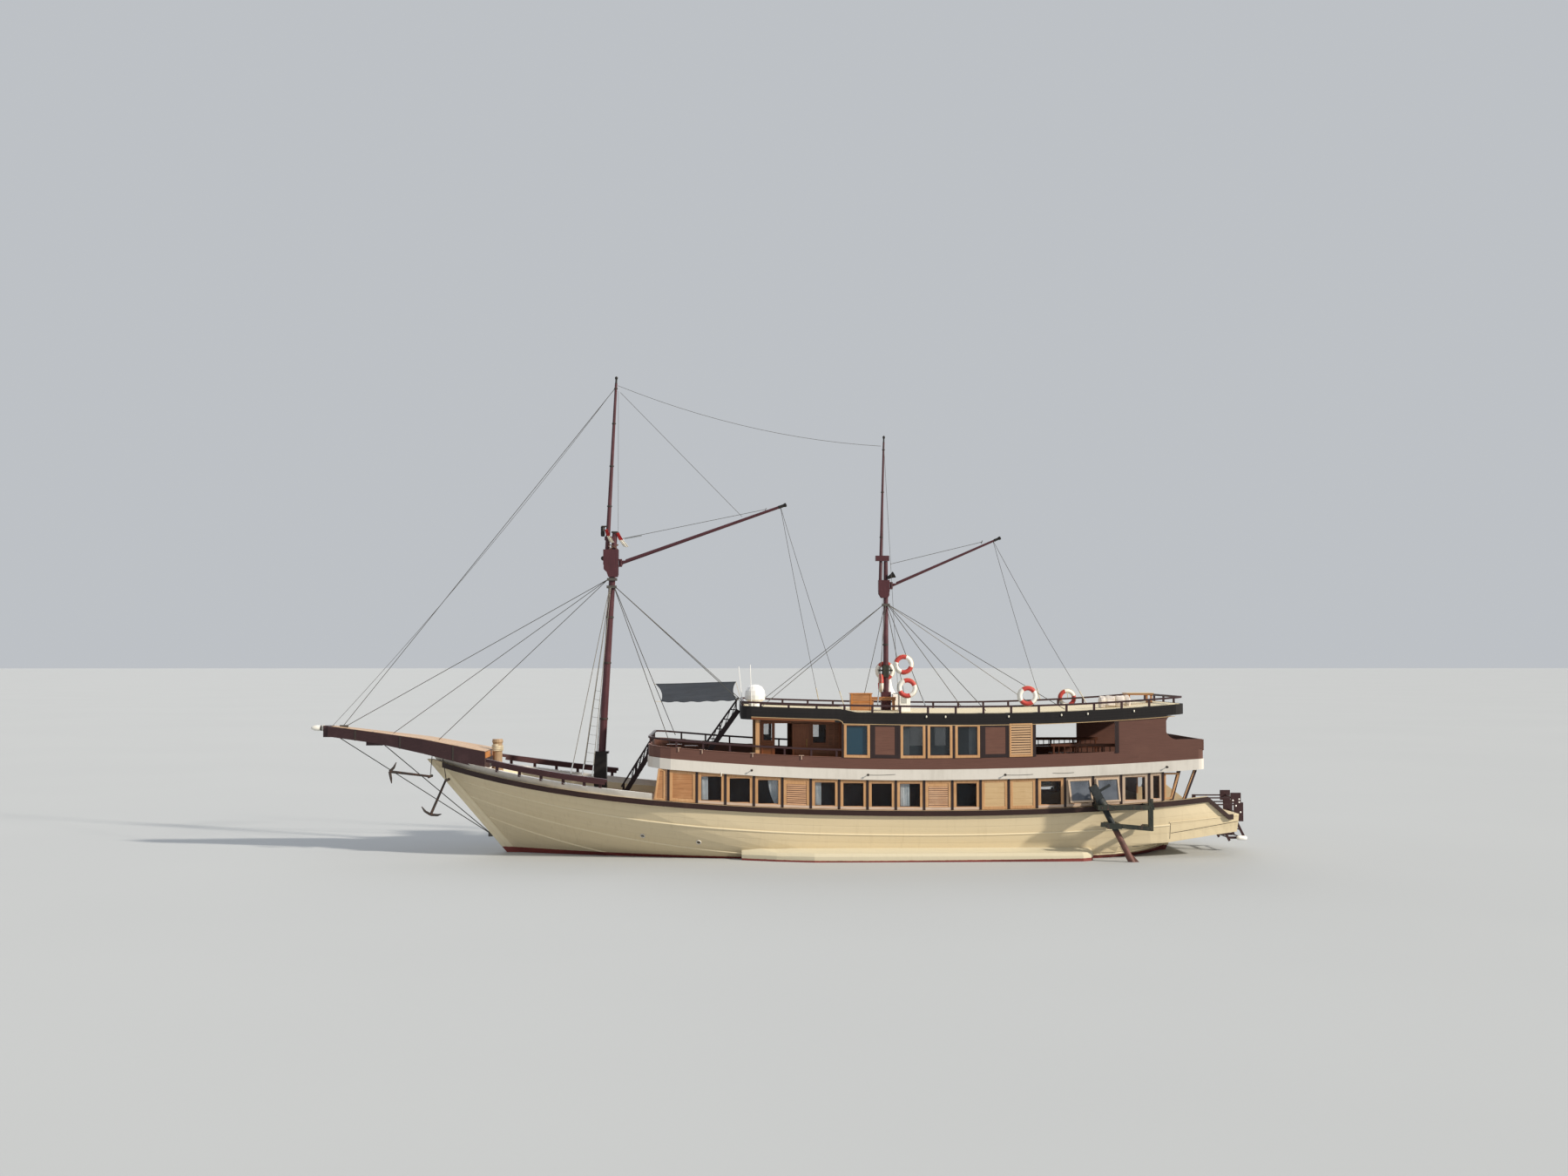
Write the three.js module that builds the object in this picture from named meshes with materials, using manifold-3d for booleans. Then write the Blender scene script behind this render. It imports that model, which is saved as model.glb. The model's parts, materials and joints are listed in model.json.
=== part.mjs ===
// A two-masted wooden liveaboard dive boat of the motor-sailer type, afloat with bare masts.
// Millimetres. +X points to the bow, +Y to port and +Z up, from the waterline amidships.
import * as THREE from "three";
import { mergeVertices } from "three/addons/utils/BufferGeometryUtils.js";
import Module from "manifold-3d";

const wasm = await Module();
wasm.setup();

// The gap between two faces that touch.
const SEAT = 0.3;

// Hull form. The stem and the sternpost are straight lines above the forefoot.
const STEM_AT_WATER_X = 12570;
const STEM_RAKE = 0.864;
const FOREFOOT_START_Z = -700;
const FOREFOOT_BEND = 0.00077;
const STERNPOST_AT_WATER_X = -13050;
const STERNPOST_RAKE = 0.48;
const TRANSOM_X = -15400;
const DRAUGHT = 2150;
const HALF_SIDING = 120;
const HALF_BEAM_AT_WATER = 2950;
const HALF_BEAM_AT_DECK = 3450;
const HALF_BEAM_AT_TRANSOM = 2700;
const SHEER_LOW_X = -4000;
const SHEER_LOW_Z = 1860;
const STERN_STEP_TOP_X = -14100;
const STERN_STEP_FOOT_X = -14950;
const STERN_SHELF_Z = 1640;
const COUNTER_START_X = -12500;
const QUARTER_START_X = -11500;

// Decks inside the hull.
const PLANK_SIDE = 240;
const CABIN_SOLE_Z = 1000;
const CABIN_AFT_X = -12250;
const CABIN_FWD_X = 6600;
const AFT_DECK_Z = 1550;
const FOREDECK_DROP = 250;
const SALOON_DOORWAY = { half: 450, head: 2950 };

// Upper deck, bulwark, walls and roof.
const WALL = 60;
const LOWER_WALL_Y = 3360;
const BAND_HEIGHT = 400;
const BULWARK_HEIGHT = 420;
const BULWARK_INSET = 30;
const ROOF_DEPTH = 390;
const UPPER_DECK = { fwd: 7160, aft: -13900, half: 3480, fwdRadius: 900, aftRadius: 250 };
const ROOF = { fwd: 3650, aft: -13150, half: 3480, fwdRadius: 400, aftRadius: 350 };
const UPPER_WALL_Y = UPPER_DECK.half - BULWARK_INSET;
const BAY_START_X = 6350;
const BAY_PITCH = 1066;

const group = new THREE.Group();

const PAINT = {
  cream: [0xe6dcbc, 0.5],
  darkWood: [0x33201a, 0.55],
  brown: [0x6b4034, 0.6],
  honey: [0xb9824a, 0.55],
  white: [0xeeeae0, 0.45],
  red: [0x7c2622, 0.7],
  black: [0x17171a, 0.6],
  glass: [0x2d4a50, 0.15],
  steel: [0x8d9196, 0.4],
  cloth: [0x33363c, 0.9],
  brass: [0xa98b4e, 0.4],
};

function material(key) {
  const [color, roughness] = PAINT[key];
  const metalness = key === "steel" || key === "brass" ? 0.9 : 0;
  return new THREE.MeshStandardMaterial({ color, roughness, metalness });
}

// A three.js geometry as a solid that can be joined and cut.
function solid(geometry) {
  const bare = geometry.clone();
  for (const name of Object.keys(bare.attributes)) {
    if (name !== "position") bare.deleteAttribute(name);
  }
  const merged = mergeVertices(bare, 0.01);
  return new wasm.Manifold(new wasm.Mesh({
    numProp: 3,
    vertProperties: merged.attributes.position.array,
    triVerts: new Uint32Array(merged.index.array),
  }));
}

function meshOf(name, piece, key) {
  const made = piece.getMesh();
  const geometry = new THREE.BufferGeometry();
  geometry.setAttribute("position", new THREE.BufferAttribute(made.vertProperties, 3));
  geometry.setIndex(new THREE.BufferAttribute(made.triVerts, 1));
  geometry.computeVertexNormals();
  const mesh = new THREE.Mesh(geometry, material(key));
  mesh.name = name;
  return mesh;
}

function add(name, piece, key) {
  group.add(meshOf(name, piece, key));
}

// The port piece and its mirror image to starboard.
function addPair(name, piece, key) {
  const port = meshOf(name + "_port", piece, key);
  const starboard = new THREE.Mesh(port.geometry, port.material);
  starboard.name = name + "_starboard";
  starboard.scale.y = -1;
  group.add(port, starboard);
}

const join = (pieces) => pieces.reduce((whole, piece) => whole.add(piece));
// What is left of a piece once its neighbours have cut off the ends that ran past them.
const biggest = (piece) => piece.decompose().sort((a, b) => b.volume() - a.volume())[0];
const clamp = (t) => Math.min(1, Math.max(0, t));
const mix = (a, b, t) => a + (b - a) * t;

function box(x0, x1, y0, y1, z0, z1) {
  const geometry = new THREE.BoxGeometry(x1 - x0, y1 - y0, z1 - z0);
  geometry.translate((x0 + x1) / 2, (y0 + y1) / 2, (z0 + z1) / 2);
  return solid(geometry);
}

// A round spar or bar from one point to another, which may taper.
function spar(from, to, startRadius, endRadius = startRadius, sides = 10) {
  const a = new THREE.Vector3(...from);
  const b = new THREE.Vector3(...to);
  const geometry = new THREE.CylinderGeometry(endRadius, startRadius, a.distanceTo(b), sides);
  const direction = b.clone().sub(a).normalize();
  const turn = new THREE.Quaternion().setFromUnitVectors(new THREE.Vector3(0, 1, 0), direction);
  geometry.applyQuaternion(turn);
  geometry.translate((a.x + b.x) / 2, (a.y + b.y) / 2, (a.z + b.z) / 2);
  return solid(geometry);
}

// A squared timber in the XZ plane from one point to another: depth lies in that plane, width along Y.
function timber(from, to, depth, width, y) {
  const [x0, z0] = from;
  const [x1, z1] = to;
  const geometry = new THREE.BoxGeometry(Math.hypot(x1 - x0, z1 - z0), width, depth);
  geometry.rotateY(-Math.atan2(z1 - z0, x1 - x0));
  geometry.translate((x0 + x1) / 2, y, (z0 + z1) / 2);
  return solid(geometry);
}

// A flat plate whose outline and holes are drawn in the XZ plane, between two Y planes.
function platePlan(outline, holes, y0, y1) {
  const shape = new THREE.Shape(outline.map(([x, z]) => new THREE.Vector2(x, z)));
  for (const hole of holes) {
    shape.holes.push(new THREE.Path(hole.map(([x, z]) => new THREE.Vector2(x, z))));
  }
  const geometry = new THREE.ExtrudeGeometry(shape, { depth: y1 - y0, bevelEnabled: false, curveSegments: 6 });
  geometry.rotateX(Math.PI / 2);
  geometry.translate(0, y1, 0);
  return solid(geometry);
}

function rectangle(x0, x1, z0, z1) {
  return [[x0, z0], [x1, z0], [x1, z1], [x0, z1]];
}

// A solid of revolution about a vertical line through (x, y): the profile holds [radius, z] pairs.
function turned(profile, x, y, sides = 16) {
  const points = profile.map(([radius, z]) => new THREE.Vector2(radius, z));
  const geometry = new THREE.LatheGeometry(points, sides);
  geometry.rotateX(Math.PI / 2);
  geometry.translate(x, y, 0);
  return solid(geometry);
}

function surface(positions, triangles) {
  const geometry = new THREE.BufferGeometry();
  geometry.setAttribute("position", new THREE.Float32BufferAttribute(positions.flat(), 3));
  geometry.setIndex(triangles.flat());
  return solid(geometry);
}

// A symmetric solid from levels, bottom to top. Each level lists [x, y, z] of the port side from
// stern to bow, and the starboard side is its mirror image.
function stack(levels) {
  const count = levels[0].length;
  const positions = [];
  for (const level of levels) {
    for (const [x, y, z] of level) positions.push([x, y, z]);
    for (const [x, y, z] of level) positions.push([x, -y, z]);
  }
  const triangles = [];
  const quad = (a, b, c, d) => triangles.push([a, b, c], [a, c, d]);
  const port = (k, i) => 2 * count * k + i;
  const starboard = (k, i) => 2 * count * k + count + i;
  const top = levels.length - 1;
  const last = count - 1;
  for (let k = 0; k < top; k++) {
    for (let i = 0; i < last; i++) {
      quad(port(k, i), port(k + 1, i), port(k + 1, i + 1), port(k, i + 1));
      quad(starboard(k, i), starboard(k, i + 1), starboard(k + 1, i + 1), starboard(k + 1, i));
    }
    quad(starboard(k, last), port(k, last), port(k + 1, last), starboard(k + 1, last));
    quad(port(k, 0), starboard(k, 0), starboard(k + 1, 0), port(k + 1, 0));
  }
  for (let i = 0; i < last; i++) {
    quad(starboard(0, i), port(0, i), port(0, i + 1), starboard(0, i + 1));
    quad(starboard(top, i), starboard(top, i + 1), port(top, i + 1), port(top, i));
  }
  return surface(positions, triangles);
}

// A solid through convex sections along X, from aft to forward. Each section is
// { x, ring }, where ring lists [y, z] counter-clockwise as seen from the bow.
function loftAlong(sections) {
  const count = sections[0].ring.length;
  const positions = sections.flatMap(({ x, ring }) => ring.map(([y, z]) => [x, y, z]));
  const triangles = [];
  for (let s = 0; s < sections.length - 1; s++) {
    for (let i = 0; i < count; i++) {
      const a = s * count + i;
      const b = s * count + ((i + 1) % count);
      triangles.push([a, b, b + count], [a, b + count, a + count]);
    }
  }
  const end = (sections.length - 1) * count;
  for (let i = 1; i < count - 1; i++) {
    triangles.push([0, i + 1, i], [end, end + i, end + i + 1]);
  }
  return surface(positions, triangles);
}

// The sheer: the hull's top edge, lowest a little aft of amidships.
function sheerZ(x) {
  const fwd = Math.max(0, x - SHEER_LOW_X) / 1000;
  const aft = Math.max(0, SHEER_LOW_X - x) / 1000;
  return SHEER_LOW_Z + 2.4 * fwd ** 2 + 0.11 * fwd ** 3 + 4.6 * aft ** 2;
}

// The hull's top edge with the step down to the stern shelf.
function hullTopZ(x) {
  const down = clamp((STERN_STEP_TOP_X - x) / (STERN_STEP_TOP_X - STERN_STEP_FOOT_X));
  return mix(sheerZ(Math.max(x, STERN_STEP_TOP_X)), STERN_SHELF_Z, down);
}

function stemX(z) {
  const below = Math.max(0, FOREFOOT_START_Z - z);
  return STEM_AT_WATER_X + STEM_RAKE * z - FOREFOOT_BEND * below ** 2;
}

const sternpostX = (z) => STERNPOST_AT_WATER_X - STERNPOST_RAKE * z;

// The x where a line at a fraction of the sheer's height meets the stem or the sternpost.
function endOfLevel(endX, fraction, start) {
  let x = start;
  for (let turn = 0; turn < 8; turn++) x = endX(fraction * sheerZ(x));
  return x;
}

// How full a waterline is at a distance from its pointed end: 0 at the end, 1 from the run on.
const fullness = (distance, run, power) => 1 - (1 - clamp(distance / run)) ** power;

// Stations along the hull as fractions of its length, closer at the ends and at the stern step.
const HULL_TOP_BOW_X = endOfLevel(stemX, 1, 15690);
const STATION_X = [-15400, -15150, -14950, -14500, -14100, -13500, -12900, -12300, -11600, -10800];
for (let x = -9800; x < 10000; x += 1300) STATION_X.push(x);
STATION_X.push(10800, 11800, 12700, 13500, 14200, 14800, 15250, 15550, HULL_TOP_BOW_X);
const STATIONS = STATION_X.map((x) => (x - TRANSOM_X) / (HULL_TOP_BOW_X - TRANSOM_X));

// Levels under water by their share of the draught, from the keel up.
const UNDER_WATER = [1, 0.93, 0.82, 0.66, 0.48, 0.3, 0.14];
// Levels above water: share of the sheer's height, and at the transom its height and half breadth.
// Those without a transom height end at the sternpost, under the counter.
const ABOVE_WATER = [
  { share: 0 },
  { share: 0.12 },
  { share: 0.23 },
  { share: 0.27, transomZ: 940, transomY: 2420 },
  { share: 0.46, transomZ: 1350, transomY: 2620 },
  { share: 0.64, transomZ: 1560, transomY: 2680 },
  { share: 1, transomZ: STERN_SHELF_Z, transomY: HALF_BEAM_AT_TRANSOM },
];

function levelUnderWater(depth) {
  const z = -DRAUGHT * depth;
  const bow = stemX(z);
  const stern = sternpostX(z);
  const roundness = (1 - depth ** 2.2) ** 0.67;
  return STATIONS.map((u) => {
    const x = mix(stern, bow, u);
    const entry = fullness(bow - x, mix(13000, 10000, depth), mix(1.75, 1.4, depth));
    const run = fullness(x - stern, mix(4000, 9000, depth), mix(2.2, 1.5, depth));
    return [x, Math.max(HALF_SIDING, HALF_BEAM_AT_WATER * entry * run * roundness), z];
  });
}

function levelAboveWater({ share, transomZ, transomY }) {
  const bow = endOfLevel(stemX, share, 15690);
  const stern = transomZ ? TRANSOM_X : endOfLevel(sternpostX, share, STERNPOST_AT_WATER_X);
  const beam = mix(HALF_BEAM_AT_WATER, HALF_BEAM_AT_DECK, share ** 0.8);
  return STATIONS.map((u) => {
    const x = mix(stern, bow, u);
    const entry = fullness(bow - x, mix(13000, 11000, share), mix(1.75, 3.3, share));
    const wide = Math.max(HALF_SIDING, beam * entry);
    if (!transomZ) {
      const run = fullness(x - stern, mix(4000, 2400, share / 0.23), 2.2);
      return [x, Math.max(HALF_SIDING, wide * run), share * sheerZ(x)];
    }
    const quarter = clamp((QUARTER_START_X - x) / (QUARTER_START_X - TRANSOM_X)) ** 1.7;
    const counter = clamp((COUNTER_START_X - x) / (COUNTER_START_X - TRANSOM_X));
    const z = share === 1 ? hullTopZ(x) : mix(share * sheerZ(x), transomZ, counter);
    return [x, mix(wide, transomY, quarter), z];
  });
}

const HULL_LEVELS = [...UNDER_WATER.map(levelUnderWater), ...ABOVE_WATER.map(levelAboveWater)];
// The hull's outer form, grown sideways and upwards by the given amounts.
const LEAST_HALF_BREADTH = 20;
function hullForm(side, top) {
  const last = STATIONS.length - 1;
  return stack(HULL_LEVELS.map((level, k) => level.map(([x, y, z], i) => {
    const along = i === 0 ? -side : i === last ? side : 0;
    const up = k === HULL_LEVELS.length - 1 ? top : k === 0 ? -side : 0;
    return [x + along, Math.max(LEAST_HALF_BREADTH, y + side), z + up];
  })));
}

// Half breadth of the hull's top edge at x.
function topHalfBreadth(x) {
  const level = HULL_LEVELS[HULL_LEVELS.length - 1];
  const next = level.findIndex((point) => point[0] >= x);
  if (next < 1) return level[Math.max(0, next)][1];
  const [x0, y0] = level[next - 1];
  const [x1, y1] = level[next];
  return mix(y0, y1, (x - x0) / (x1 - x0));
}

// The decked hull: a foredeck below the rail, a cabin space under the house and an aft deck.
function makeHull(grow) {
  const inside = hullForm(-PLANK_SIDE - grow, 700);
  const foredeckLayer = inside
    .subtract(hullForm(800, grow - FOREDECK_DROP))
    .intersect(box(6950 + grow, 14600 - grow, -4000, 4000, 1000, 6000));
  const cabinSpace = inside.intersect(
    box(CABIN_AFT_X + grow, CABIN_FWD_X - grow, -4000, 4000, CABIN_SOLE_Z + grow, 6000));
  const aftSpace = inside.intersect(
    box(STERN_STEP_FOOT_X + 120 + grow, CABIN_AFT_X - WALL - grow, -4000, 4000, AFT_DECK_Z + grow, 6000));
  const doorway = box(CABIN_AFT_X - WALL - 50, CABIN_AFT_X + 50, -SALOON_DOORWAY.half, SALOON_DOORWAY.half,
    AFT_DECK_Z + 20, 6000);
  return hullForm(grow, grow).subtract(foredeckLayer).subtract(cabinSpace).subtract(aftSpace).subtract(doorway);
}

const hull = makeHull(0);
const hullCutter = makeHull(SEAT);
const hullSideCutter = hullForm(2 * SEAT, 0);
add("hull", hull, "cream");

// Backbone: one plate of stem, keel and sternpost outside the planking, with the shaft boss.
const KEEL_DEPTH = 300;
const BACKBONE_PROUD = 190;
const SHAFT_Z = -1500;
const BOSS_LENGTH = 330;
const stemLine = HULL_LEVELS.map((level) => [level[level.length - 1][0], level[level.length - 1][2]]);
const postLine = HULL_LEVELS.map((level) => [level[0][0], level[0][2]]).filter(([x]) => x > TRANSOM_X);
stemLine[stemLine.length - 1][1] -= SEAT;
const shifted = (line, dx) => line.map(([x, z]) => [x + dx, z]);
const keelBottomZ = -DRAUGHT - KEEL_DEPTH;
const backboneOutline = [
  [stemLine[0][0] + SEAT, -DRAUGHT - SEAT],
  ...shifted(stemLine, SEAT),
  ...shifted(stemLine, BACKBONE_PROUD).reverse(),
  [stemLine[0][0] - 60, keelBottomZ],
  [postLine[0][0] - BACKBONE_PROUD, keelBottomZ],
  ...shifted(postLine, -BACKBONE_PROUD).slice(0, -1),
  [postLine[postLine.length - 1][0] - BACKBONE_PROUD + 40, postLine[postLine.length - 1][1] - 40],
  ...shifted(postLine, -SEAT).reverse(),
  [postLine[0][0] - SEAT, -DRAUGHT - SEAT],
];
const bossFace = sternpostX(SHAFT_Z) - BACKBONE_PROUD;
const shaftBoss = spar([bossFace + 60, 0, SHAFT_Z], [bossFace - BOSS_LENGTH, 0, SHAFT_Z], 112, 105, 14);
const backbone = platePlan(backboneOutline, [], 2 - HALF_SIDING, HALF_SIDING - 2).add(shaftBoss);
add("keel_and_stem", backbone, "cream");

// Dark rubbing strake along each side, just under the hull's top edge.
function makeStrake(grow) {
  const sections = [];
  for (const x of STATION_X) {
    if (x < -15200 || x > 15300) continue;
    const y = topHalfBreadth(x);
    const z = hullTopZ(x);
    const out = y + 55 + grow;
    const low = z - 200 - grow;
    const high = z - 6 + grow;
    const ring = [[y - 160, low], [out, low], [out, high], [y - 160, high]];
    sections.push({ x, ring });
  }
  return loftAlong(sections).subtract(hullSideCutter);
}
addPair("rubbing_strake", makeStrake(0), "darkWood");

// Low white bulwark on the deck's edge, from the house round the bow.
const BOW_BULWARK_HEIGHT = 235;
function makeBowBulwark(grow) {
  return hullForm(8 + grow, BOW_BULWARK_HEIGHT + grow)
    .subtract(hullForm(-95 - grow, 900))
    .subtract(hullForm(700, SEAT - grow))
    .intersect(box(6960 - grow, 17000, -4000, 4000, 0, 6000));
}
add("bow_bulwark", makeBowBulwark(0), "white");

// Fore rail on each side: a heavy cap on posts that stand on the bulwark.
const RAIL_FWD_X = 13350;
const RAIL_AFT_X = 8650;
const RAIL_TOP = 590;
const RAIL_CAP = 120;
function makeForeRail() {
  const sections = [];
  const steps = 8;
  for (let i = 0; i <= steps; i++) {
    const x = mix(RAIL_AFT_X, RAIL_FWD_X, i / steps);
    const y = topHalfBreadth(x) - 45;
    const z = sheerZ(x) + RAIL_TOP;
    const ring = [[y - 120, z - RAIL_CAP], [y + 120, z - RAIL_CAP], [y + 120, z], [y - 120, z]];
    sections.push({ x, ring });
  }
  const pieces = [loftAlong(sections)];
  for (const x of [12900, 12000, 11150, 10300, 9500, 8900]) {
    const y = topHalfBreadth(x) - 45;
    const foot = sheerZ(x) + BOW_BULWARK_HEIGHT - 60;
    pieces.push(box(x - 55, x + 55, y - 45, y + 45, foot, sheerZ(x) + RAIL_TOP - 60));
  }
  return biggest(join(pieces).subtract(makeBowBulwark(SEAT)));
}
const foreRail = makeForeRail();
const foreRails = foreRail.add(foreRail.mirror([0, 1, 0]));
addPair("fore_rail", foreRail, "brown");

// Bowsprit platform: a tapering box of side beams and planks.
const SPRIT = [
  { x: 13450, half: 1500, top: 3990, bottom: 3330 },
  { x: 15900, half: 1120, top: 4455, bottom: 3905 },
  { x: 17700, half: 720, top: 4690, bottom: 4270 },
  { x: 19700, half: 430, top: 4940, bottom: 4535 },
];
const spritBeam = loftAlong(SPRIT.map(({ x, half, top, bottom }) => ({
  x,
  ring: [[half, bottom], [half, top], [-half, top], [-half, bottom]],
})));
const tipBlock = box(19580, 19930, -190, 190, 4500, 4950);
const spritBrace = box(17550, 18180, -560, 560, 4190, 4330);
const spritWhole = join([spritBeam, tipBlock, spritBrace]);
const sprit = biggest(spritWhole.subtract(makeBowBulwark(SEAT)).subtract(hullCutter));
add("bowsprit", sprit, "darkWood");
const spritTip = spar([19930 + SEAT, 0, 4850], [20450, 0, 4850], 130, 18, 14);
add("bowsprit_tip", spritTip, "white");

// Mooring post that stands on the foredeck ahead of the rail.
const BOLLARD_PROFILE = [
  [0, 2700], [230, 2700], [230, 3300], [185, 3500], [185, 4240], [215, 4300], [200, 4410], [0, 4410],
];
const bollard = turned(BOLLARD_PROFILE, 13170, 0, 14);
add("bow_bollard", bollard.subtract(hullCutter), "honey");

// Anchors with wooden stocks, hung under the platform on the port bow.
function makeAnchor({ ring, crown, y, tips, stock, pendantTop }) {
  const pieces = [spar([ring[0], y, ring[1]], [crown[0], y, crown[1]], 42, 55, 8)];
  for (const tip of tips) {
    const mid = [(crown[0] + tip[0]) / 2 + (tip[0] - crown[0]) * 0.12, y, (crown[1] + tip[1]) / 2 - 30];
    pieces.push(spar([crown[0], y, crown[1]], mid, 55, 48, 8));
    pieces.push(spar(mid, [tip[0], y, tip[1]], 50, 16, 8));
  }
  pieces.push(spar(stock[0], stock[1], 55, 55, 8));
  pieces.push(spar([ring[0], y, ring[1]], pendantTop, 16, 16, 6));
  return biggest(join(pieces).subtract(sprit.translate([0, 0, -SEAT])).subtract(sprit));
}
const anchorForward = {
  ring: [15640, 3010], crown: [17200, 3200], y: 850, tips: [[16950, 3560], [17120, 2740]],
  stock: [[15640, 500, 3010], [15640, 1200, 3010]], pendantTop: [15560, 850, 4000],
};
const anchorAft = {
  ring: [15020, 2900], crown: [15600, 1540], y: 900, tips: [[15950, 1850], [15190, 1560]],
  stock: [[14960, 600, 2880], [14960, 1200, 2880]], pendantTop: [15180, 900, 3900],
};
add("anchor_forward", makeAnchor(anchorForward), "steel");
add("anchor_aft", makeAnchor(anchorAft), "steel");

// Bobstays from the platform down to one plate on the stem.
const bobstayFoot = [stemX(700) + BACKBONE_PROUD + 30, 0, 700];
const bobstays = join([
  spar([19700, 0, 4700], bobstayFoot, 18, 18, 6),
  spar([17850, 0, 4400], bobstayFoot, 18, 18, 6),
  box(bobstayFoot[0] - 60, bobstayFoot[0] + 110, -25, 25, 600, 800),
]);
add("bobstays", biggest(bobstays
  .subtract(backbone.translate([SEAT, 0, 0]))
  .subtract(backbone)
  .subtract(sprit.translate([0, 0, -SEAT]))
  .subtract(sprit)), "steel");

// Side floats along the waterline.
const SPONSON = [
  { x: -9600, out: 3450 }, { x: -9480, out: 3720 }, { x: -9150, out: 3880 }, { x: -8000, out: 3910 },
  { x: -1000, out: 3930 }, { x: 900, out: 3900 }, { x: 2300, out: 3560 }, { x: 3600, out: 3080 },
];
function makeSponson() {
  const sections = SPONSON.map(({ x, out }) => ({
    x,
    ring: [[2500, -430], [out - 130, -380], [out, -180], [out, 210], [out - 120, 310], [2500, 560]],
  }));
  return biggest(loftAlong(sections).subtract(hullSideCutter));
}
addPair("sponson", makeSponson(), "cream");

// Height of the upper deck's edge, of the roof's edge and of what hangs below them.
function upperDeckZ(x) {
  const bend = x > -3000 ? 4.9 : 3.34;
  return 3400 + bend * ((x + 3000) / 1000) ** 2;
}
function roofZ(x) {
  const bend = x > -5000 ? 2.5 : 5.5;
  return 5500 + bend * ((x + 5000) / 1000) ** 2;
}

// The port half of a deck's outline from aft to forward, inset by an amount.
function deckOutline({ fwd, aft, half, fwdRadius, aftRadius }, inset) {
  const side = half - inset;
  const corner = (end, radius, sign, turn) => {
    const r = Math.max(40, radius - inset);
    return [end + sign * (inset + r * (1 - Math.cos(turn))), side - r + r * Math.sin(turn)];
  };
  const turns = [0, 0.2, 0.45, 0.7, 1].map((part) => (part * Math.PI) / 2);
  const aftCorner = turns.map((turn) => corner(aft, aftRadius, 1, turn));
  const fwdCorner = turns.map((turn) => corner(fwd, fwdRadius, -1, turn)).reverse();
  const from = aftCorner[aftCorner.length - 1][0];
  const to = fwdCorner[0][0];
  const spans = 12;
  const middle = [];
  for (let i = 1; i < spans; i++) middle.push([mix(from, to, i / spans), side]);
  return [...aftCorner, ...middle, ...fwdCorner];
}

// A deck-shaped layer between two heights that follow the sheer.
function layer(deck, inset, bottomZ, topZ) {
  const outline = deckOutline(deck, inset);
  return stack([
    outline.map(([x, y]) => [x, y, bottomZ(x)]),
    outline.map(([x, y]) => [x, y, topZ(x)]),
  ]);
}

function makeUpperDeck(grow) {
  return layer(UPPER_DECK, -grow, (x) => upperDeckZ(x) - BAND_HEIGHT - grow, (x) => upperDeckZ(x) + grow);
}
const upperDeckCutter = makeUpperDeck(SEAT);

// Raked posts under the aft overhang carry the deck, and stand on the hull's top edge.
const RAKED_POSTS = [
  { footX: -12700, headX: -13000 },
  { footX: -13150, headX: -13620 },
];
const deckPosts = [];
for (const { footX, headX } of RAKED_POSTS) {
  for (const side of [1, -1]) {
    const post = timber([footX + 60, 2000], [headX, 3380], 110, 110, side * 3110);
    deckPosts.push(post.subtract(hullCutter));
  }
}
add("upper_deck", join([makeUpperDeck(0), ...deckPosts]), "white");

// The bulwark round the upper deck, with its higher part across the stern.
const STERN_BULWARK_TOP = 4510;
function makeUpperBulwark(grow) {
  const foot = (x) => upperDeckZ(x) + SEAT - grow;
  const head = (x) => upperDeckZ(x) + BULWARK_HEIGHT + grow;
  const outer = layer(UPPER_DECK, BULWARK_INSET - grow, foot, head);
  const inner = layer(UPPER_DECK, BULWARK_INSET + WALL + grow, (x) => foot(x) - 50, (x) => head(x) + 50);
  const across = UPPER_WALL_Y - WALL - SEAT + grow;
  const sternX = UPPER_DECK.aft + BULWARK_INSET;
  const stern = box(sternX - grow, sternX + WALL + grow, -across, across, 4100, STERN_BULWARK_TOP + grow);
  return outer.subtract(inner).add(stern);
}
add("upper_bulwark", makeUpperBulwark(0), "brown");
const upperBulwarkCutter = makeUpperBulwark(SEAT);

function makeRoof(grow) {
  return layer(ROOF, -grow, (x) => roofZ(x) - ROOF_DEPTH - grow, (x) => roofZ(x) + grow);
}
const roofCutter = makeRoof(SEAT);

// Light posts at the forward corners of the side decks carry the roof, inboard of bulwark and rail.
const ROOF_POST = { aft: 2950, fwd: 3090, y: 3337, halfWidth: 32 };
const roofPosts = [1, -1].map((side) => {
  const { aft, fwd, y, halfWidth } = ROOF_POST;
  return box(aft, fwd, side * y - halfWidth, side * y + halfWidth, 3400, 5400).subtract(upperDeckCutter);
});
const roof = join([makeRoof(0), ...roofPosts]);
add("roof", roof, "black");

// Main house: two long side walls with a window in each bay that has one.
const LOWER_BAYS = ["panel", "window", "window", "window", "louvre", "window", "window", "window", "window",
  "louvre", "window", "panel", "panel", "window", "open", "open", "window", "window"];
// The last bay is narrower than the others.
const LAST_BAY_AFT_X = -12320;
const bayEdge = (i) => (i < LOWER_BAYS.length ? BAY_START_X - BAY_PITCH * i : LAST_BAY_AFT_X);
const LOWER_WALL_AFT_X = -12330;
function lineAlong(from, to, height, step = 1000) {
  const points = [];
  const count = Math.max(1, Math.round(Math.abs(to - from) / step));
  for (let i = 0; i <= count; i++) {
    const x = mix(from, to, i / count);
    points.push([x, height(x)]);
  }
  return points;
}
function lowerHoles(kinds, marginX, marginZ) {
  const holes = [];
  LOWER_BAYS.forEach((kind, i) => {
    if (!kinds.includes(kind)) return;
    const fwd = bayEdge(i) - marginX;
    const aft = bayEdge(i + 1) + marginX;
    const centre = (fwd + aft) / 2;
    const sill = sheerZ(centre) + marginZ;
    const head = upperDeckZ(centre) - BAND_HEIGHT - marginZ;
    holes.push(rectangle(aft, fwd, sill, head));
  });
  return holes;
}
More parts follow.
